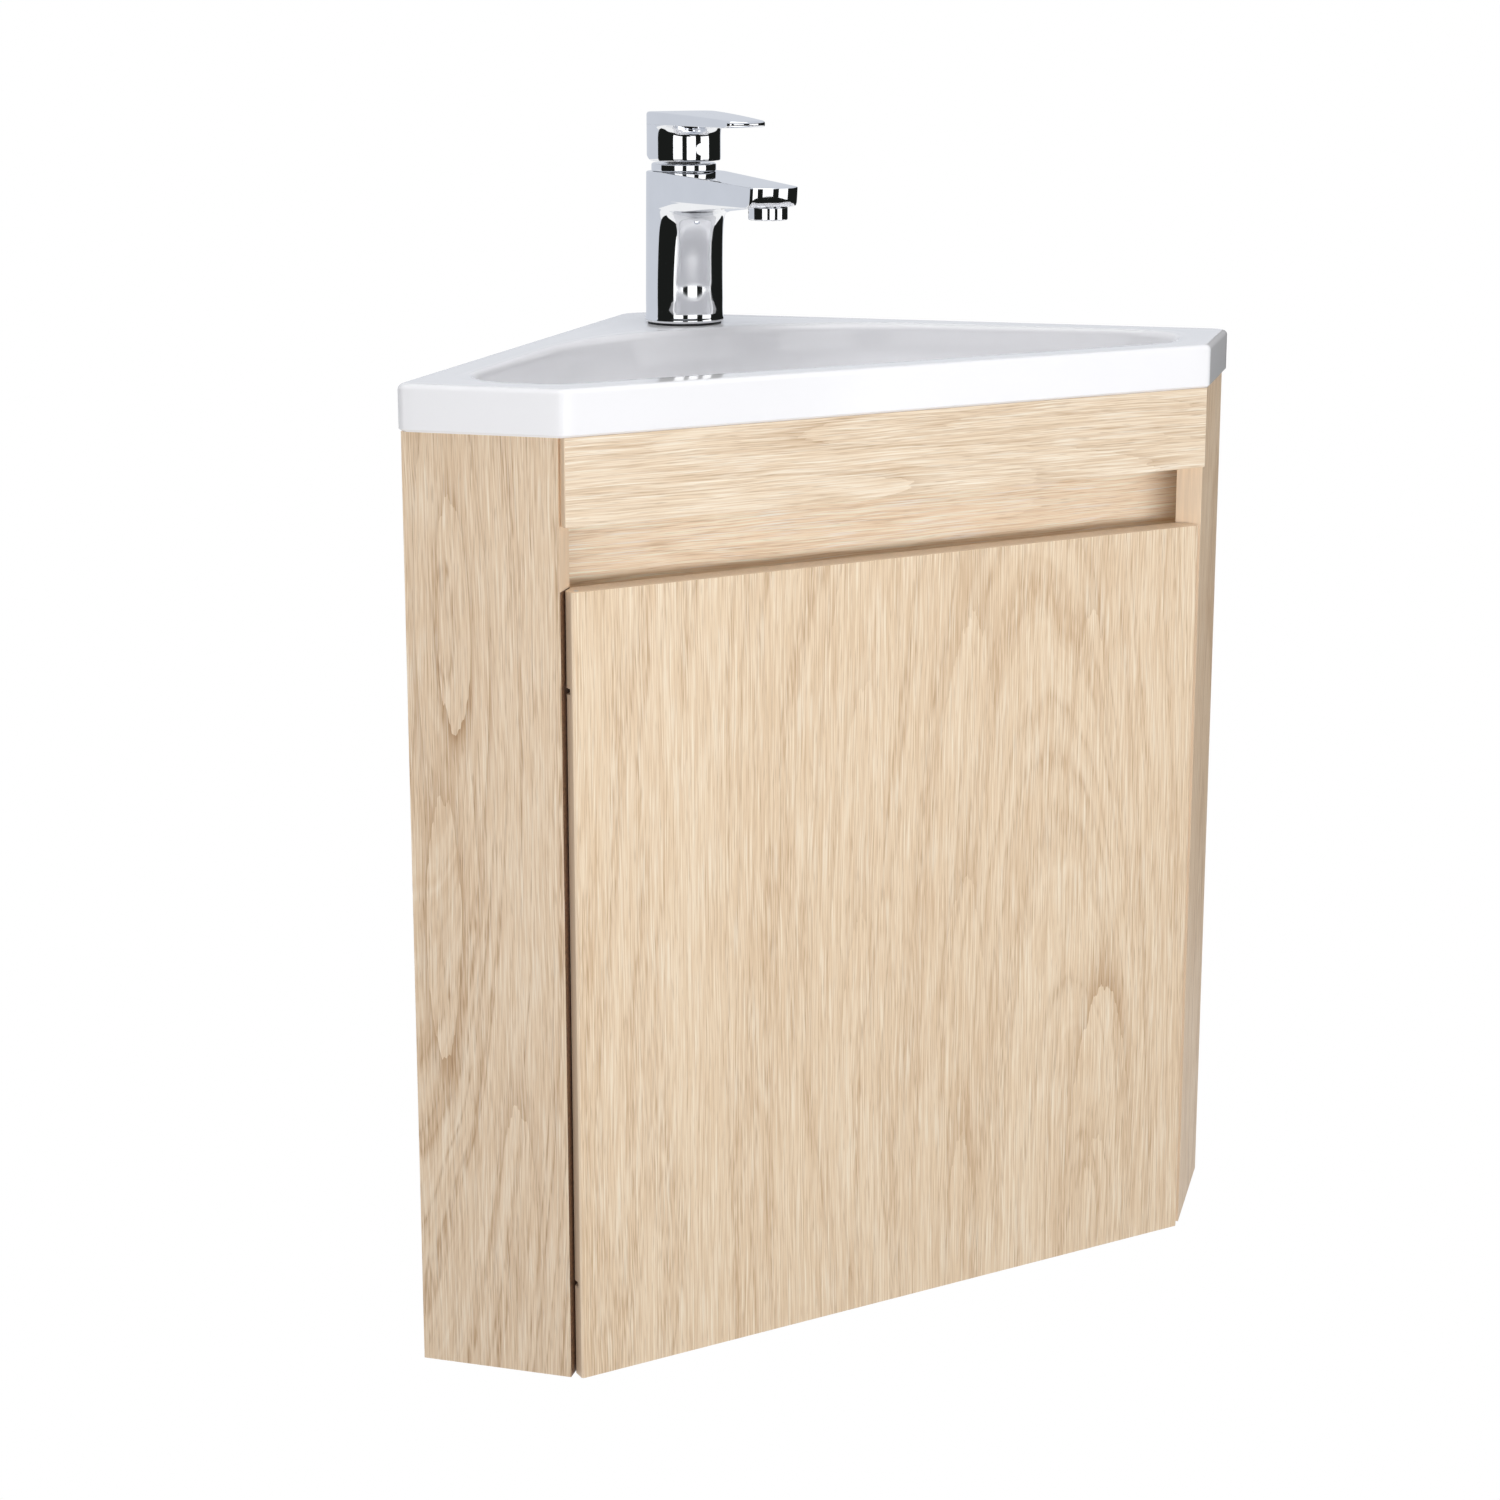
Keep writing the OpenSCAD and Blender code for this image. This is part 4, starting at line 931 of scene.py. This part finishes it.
def makeHandle(t):
    z0 = t["height"] + t["neckGap"]
    r = t["handleRadius"]

    def top(x):
        far = max(0.0, x + 6) / (t["leverTip"] + 6)
        return z0 + t["handleHeight"] - 0.1 - t["leverDrop"] * far ** 1.5 - 0.5 * max(0.0, -x / r) ** 2

    rings = [tongueRing(r - a, r - a, r - a, 60, 0, z0 + z) for a, z in t["skirt"]]
    body = tapLevels(t["handleFront"], lambda z: r, t["leverTip"], t["rootHalf"], t["leverHalf"], t["bow"])
    rings += [tongueRing(*level) for level in body]
    rings += topRings(r, body[-1], top, t["leverEdge"], (3, 7, 12), 2, 2)
    obj = meshFromRings("tapHandle", rings, closed=False)
    # the back of the skirt is cut upwards so that it clears the column when the lever lifts
    bpy.ops.mesh.primitive_cube_add(size=1, location=(0, 0, 0))
    cutter = bpy.context.object
    cutter.scale = (0.06, 0.12, 0.03)
    cutter.location = (-0.03, 0, -0.015)
    settle(cutter)
    tilt = Matrix.Rotation(math.radians(t["relief"]), 4, "Y")
    cutter.data.transform(Matrix.Translation((0, 0, z0 * mm)) @ tilt)
    cutWith(obj, cutter)
    seat = (r + 7, 0, z0 + t["plugHeight"])
    drill(obj, t["plugRadius"] - 0.02, 20, seat, 48, rotation=(0, math.radians(90), 0))
    smooth(obj, 40)
    return obj


tapHandle = makeHandle(tapSize)
intoTapFrame(tapHandle)
place(tapHandle, "tap_lever", "tap_handle", chrome)
print("tap handle made")


# outlines of the spun pieces: (radius, height), round the tap's axis or a place along the spout
ringLook = {
    "tapNeckRing": {"node": "tap_neck_nut", "along": 0.0, "round": 0.5, "profile": [
        (13.2, 77.2), (17.4, 77.2), (19.4, 86.0), (19.4, 99.1), (21.3, 99.1), (21.5, 100.2),
        (21.5, 103.6), (20.6, 104.5), (14.0, 104.5), (13.2, 103.6), (13.2, 77.2),
    ]},
    "outletShell": {"node": "aerator_shell", "along": tapSize["outlet"], "round": 0.35, "profile": [
        (9.5, 87.4), (9.5, 74.2), (10.3, 73.5), (12.0, 73.5), (12.5, 74.0), (12.5, 81.4),
        (11.0, 81.4), (11.0, 87.4), (9.5, 87.4),
    ]},
}
for ringName, look in ringLook.items():
    away = look["along"] / root2
    centre = (tapSize["axis"][0] + away, tapSize["axis"][1] - away, tapSize["deck"])
    ring = lathe(ringName, roundedProfile(look["profile"], look["round"]), centre)
    smooth(ring, 40)
    place(ring, "cabinet", look["node"], chrome)
print("tap rings made")

wasteSize = {
    "centre": (160.0, -160.0, 495.0),
    "plug": 30.0, "stem": 4.0, "neck": 16.0,
    "raised": 11.3,  # the plug's underside over the bowl's floor while the waste is open
}


def makeWaste(k):
    cap, stem, neck, rim = k["raised"], k["stem"], k["neck"], k["plug"]
    outline = [
        (0.0, -34.0), (stem - 0.8, -34.0), (stem, -33.2), (stem, cap - 2), (neck, cap - 2), (neck, cap),
        (rim - 1, cap), (rim, cap + 1.2), (rim - 1.5, cap + 3),
        (21.6, cap + 4.3), (12.0, cap + 5), (0.0, cap + 5.3),
    ]
    plug = lathe("wastePlug", roundedProfile(outline, 0.4), k["centre"])
    smooth(plug, 40)
    return plug


plug = makeWaste(wasteSize)
place(plug, "plug", "waste_plug", chrome)
print("waste made")

# CAD nodes that stay, with their finish
nodeLook = {
    "dowels": oaks["dowelBeech"],
    "hinge_straps": zinc, "strap_screws": zinc, "hinge_pins": zinc, "magnet_plate": zinc,
    "door_magnet": greyPlastic, "door_bumpers": whitePlastic,
    "waste_flange": chrome, "waste_gaskets": blackRubber, "waste_locknut": brassPlain,
    "tail_pipe": whitePlastic, "trap_body": whitePlastic, "trap_cup": whitePlastic, "trap_nuts": whitePlastic,
    "trap_outlet_pipe": whitePlastic,
    "tap_base_gasket": blackRubber, "tap_stud": zinc, "tap_clamp_washer": zinc, "tap_clamp_nut": brassPlain,
    "tap_cartridge": whitePlastic, "cartridge_carrier": whitePlastic, "cartridge_stem": whitePlastic,
    "handle_plug": chrome, "handle_screw": zinc, "aerator_insert": whitePlastic,
}
for nodeName, material in nodeLook.items():
    nodes[nodeName].data.materials.clear()
    nodes[nodeName].data.materials.append(material)
print("CAD nodes finished")

studioLook = {
    "world": 0.36,
    "sky": (0.66, 0.69, 0.75),  # what polished faces see past the screens
    "floor": (0.9, 0.9, 0.9), "floorHeight": -0.6, "floorSize": 14,
}
lampLook = {
    "frontKey": {"place": (1.10, -0.93, 0.47), "size": (1.6, 0.16), "power": 7.6, "aim": (0.27, -0.23, 0.46)},
    "leftKey": {"place": (-0.02, -1.42, 0.47), "size": (0.9, 0.16), "power": 2.4, "aim": (0.06, -0.40, 0.45)},
    "topLight": {"place": (0.30, -0.45, 2.25), "size": (1.6, 1.6), "power": 19.5, "aim": (0.25, -0.2501, 0.6)},
    "backLight": {"place": (-1.35, 1.35, 0.12), "size": (1.6, 0.8), "power": 15.0, "aim": (0.12, -0.12, 0.30)},
}


def eitherRay(tree, path, kinds):
    # 1 for a ray of any of these kinds
    seen = path.outputs[kinds[0]]
    for kind in kinds[1:]:
        either = tree.nodes.new("ShaderNodeMath")
        either.operation = "MAXIMUM"
        tree.links.new(seen, either.inputs[0])
        tree.links.new(path.outputs[kind], either.inputs[1])
        seen = either.outputs[0]
    return seen


def makeWorld(k):
    world = bpy.data.worlds.new("studio")
    bpy.context.scene.world = world
    world.use_nodes = True
    tree = world.node_tree
    tree.nodes.clear()
    out = tree.nodes.new("ShaderNodeOutputWorld")
    path = tree.nodes.new("ShaderNodeLightPath")
    shades = []
    for color, strength in (((1, 1, 1), k["world"]), ((1, 1, 1), 1.0), (k["sky"], 1.0)):
        shades.append(tree.nodes.new("ShaderNodeBackground"))
        shades[-1].inputs[0].default_value = (*color, 1)
        shades[-1].inputs[1].default_value = strength
    soft, white, sky = shades
    mixGlossy = tree.nodes.new("ShaderNodeMixShader")
    mixCamera = tree.nodes.new("ShaderNodeMixShader")
    tree.links.new(path.outputs["Is Glossy Ray"], mixGlossy.inputs[0])
    tree.links.new(soft.outputs[0], mixGlossy.inputs[1])
    tree.links.new(sky.outputs[0], mixGlossy.inputs[2])
    tree.links.new(eitherRay(tree, path, ("Is Camera Ray", "Is Transmission Ray")), mixCamera.inputs[0])
    tree.links.new(mixGlossy.outputs[0], mixCamera.inputs[1])
    tree.links.new(white.outputs[0], mixCamera.inputs[2])
    tree.links.new(mixCamera.outputs[0], out.inputs[0])


def makeLamp(name, k):
    deselect()
    bpy.ops.object.light_add(type="AREA", location=k["place"])
    lamp = bpy.context.object
    lamp.name = name
    lamp.data.shape = "RECTANGLE"
    lamp.data.size, lamp.data.size_y = k["size"]
    lamp.data.energy = k["power"]
    lamp.visible_camera = False
    lamp.visible_glossy = False
    aim = Vector(k["aim"]) - Vector(k["place"])
    lamp.rotation_mode = "QUATERNION"
    lamp.rotation_quaternion = aim.to_track_quat("-Z", "Y")


def flatColor(name, color, strength=1.0):
    m = bpy.data.materials.new(name)
    m.use_nodes = True
    tree = m.node_tree
    tree.nodes.clear()
    out = tree.nodes.new("ShaderNodeOutputMaterial")
    glow = tree.nodes.new("ShaderNodeEmission")
    glow.inputs[0].default_value = (*color, 1)
    glow.inputs[1].default_value = strength
    tree.links.new(glow.outputs[0], out.inputs[0])
    return m


cardLook = {
    "centre": (0.06, -0.06), "radius": 2.6, "low": -1.2, "high": 1.8,
    "dark": (0.012, 0.013, 0.012), "bright": 1.4,
    "from": -86, "to": 160,
    "white": [(-31, -3), (11, 39), (56, 86)],
    "whiteLow": 0.05, "whiteHigh": 1.35,
    "overhead": {"place": (0.35, -0.55, 2.45), "size": 1.5, "strength": 2.6},
}


def seenByGlossOnly(card):
    card.visible_camera = False
    card.visible_diffuse = False
    card.visible_shadow = False
    card.visible_transmission = False


def makeCards(k):
    # a dark screen round the front half of the studio with three bright strips before it:
    # only metal and glaze see them
    base = cameraLook["azimuth"]
    dark = flatColor("screenDark", k["dark"])
    bright = flatColor("screenBright", (1, 1, 1), k["bright"])
    spans = [(k["from"], k["to"], False)] + [(a, b, True) for a, b in k["white"]]
    for index, (a, b, lit) in enumerate(spans):
        radius = k["radius"] - (0.05 if lit else 0)
        low, high = (k["whiteLow"], k["whiteHigh"]) if lit else (k["low"], k["high"])
        steps = max(3, int((b - a) / 3))
        verts, faces = [], []
        for i in range(steps + 1):
            angle = math.radians(base + a + (b - a) * i / steps)
            x = k["centre"][0] + radius * math.sin(angle)
            y = k["centre"][1] - radius * math.cos(angle)
            verts += [(x, y, low), (x, y, high)]
        for i in range(steps):
            faces.append((2 * i, 2 * i + 2, 2 * i + 3, 2 * i + 1))
        mesh = bpy.data.meshes.new("screen%d" % index)
        mesh.from_pydata(verts, [], faces)
        card = bpy.data.objects.new("screen%d" % index, mesh)
        bpy.context.scene.collection.objects.link(card)
        card.data.materials.append(bright if lit else dark)
        seenByGlossOnly(card)
    deselect()
    over = k["overhead"]
    bpy.ops.mesh.primitive_plane_add(size=over["size"], location=over["place"])
    bpy.context.object.name = "overheadCard"
    bpy.context.object.data.materials.append(flatColor("overheadBright", (1, 1, 1), over["strength"]))
    seenByGlossOnly(bpy.context.object)


def makeFloor(k):
    deselect()
    bpy.ops.mesh.primitive_plane_add(size=k["floorSize"], location=(0, 0, k["floorHeight"]))
    floor = bpy.context.object
    floor.name = "studioFloor"
    m = bpy.data.materials.new("paleFloor")
    m.use_nodes = True
    tree = m.node_tree
    shader = tree.nodes["Principled BSDF"]
    shader.inputs["Base Color"].default_value = (*k["floor"], 1)
    shader.inputs["Roughness"].default_value = 0.9
    glow = tree.nodes.new("ShaderNodeEmission")
    path = tree.nodes.new("ShaderNodeLightPath")
    mix = tree.nodes.new("ShaderNodeMixShader")
    seen = eitherRay(tree, path, ("Is Camera Ray", "Is Glossy Ray", "Is Transmission Ray"))
    tree.links.new(seen, mix.inputs[0])
    tree.links.new(shader.outputs[0], mix.inputs[1])
    tree.links.new(glow.outputs[0], mix.inputs[2])
    tree.links.new(mix.outputs[0], tree.nodes["Material Output"].inputs[0])
    floor.data.materials.append(m)


makeWorld(studioLook)
for lampName, lampEntry in lampLook.items():
    makeLamp(lampName, lampEntry)
makeCards(cardLook)
makeFloor(studioLook)
bpy.context.scene.view_settings.view_transform = "Standard"
print("studio set")
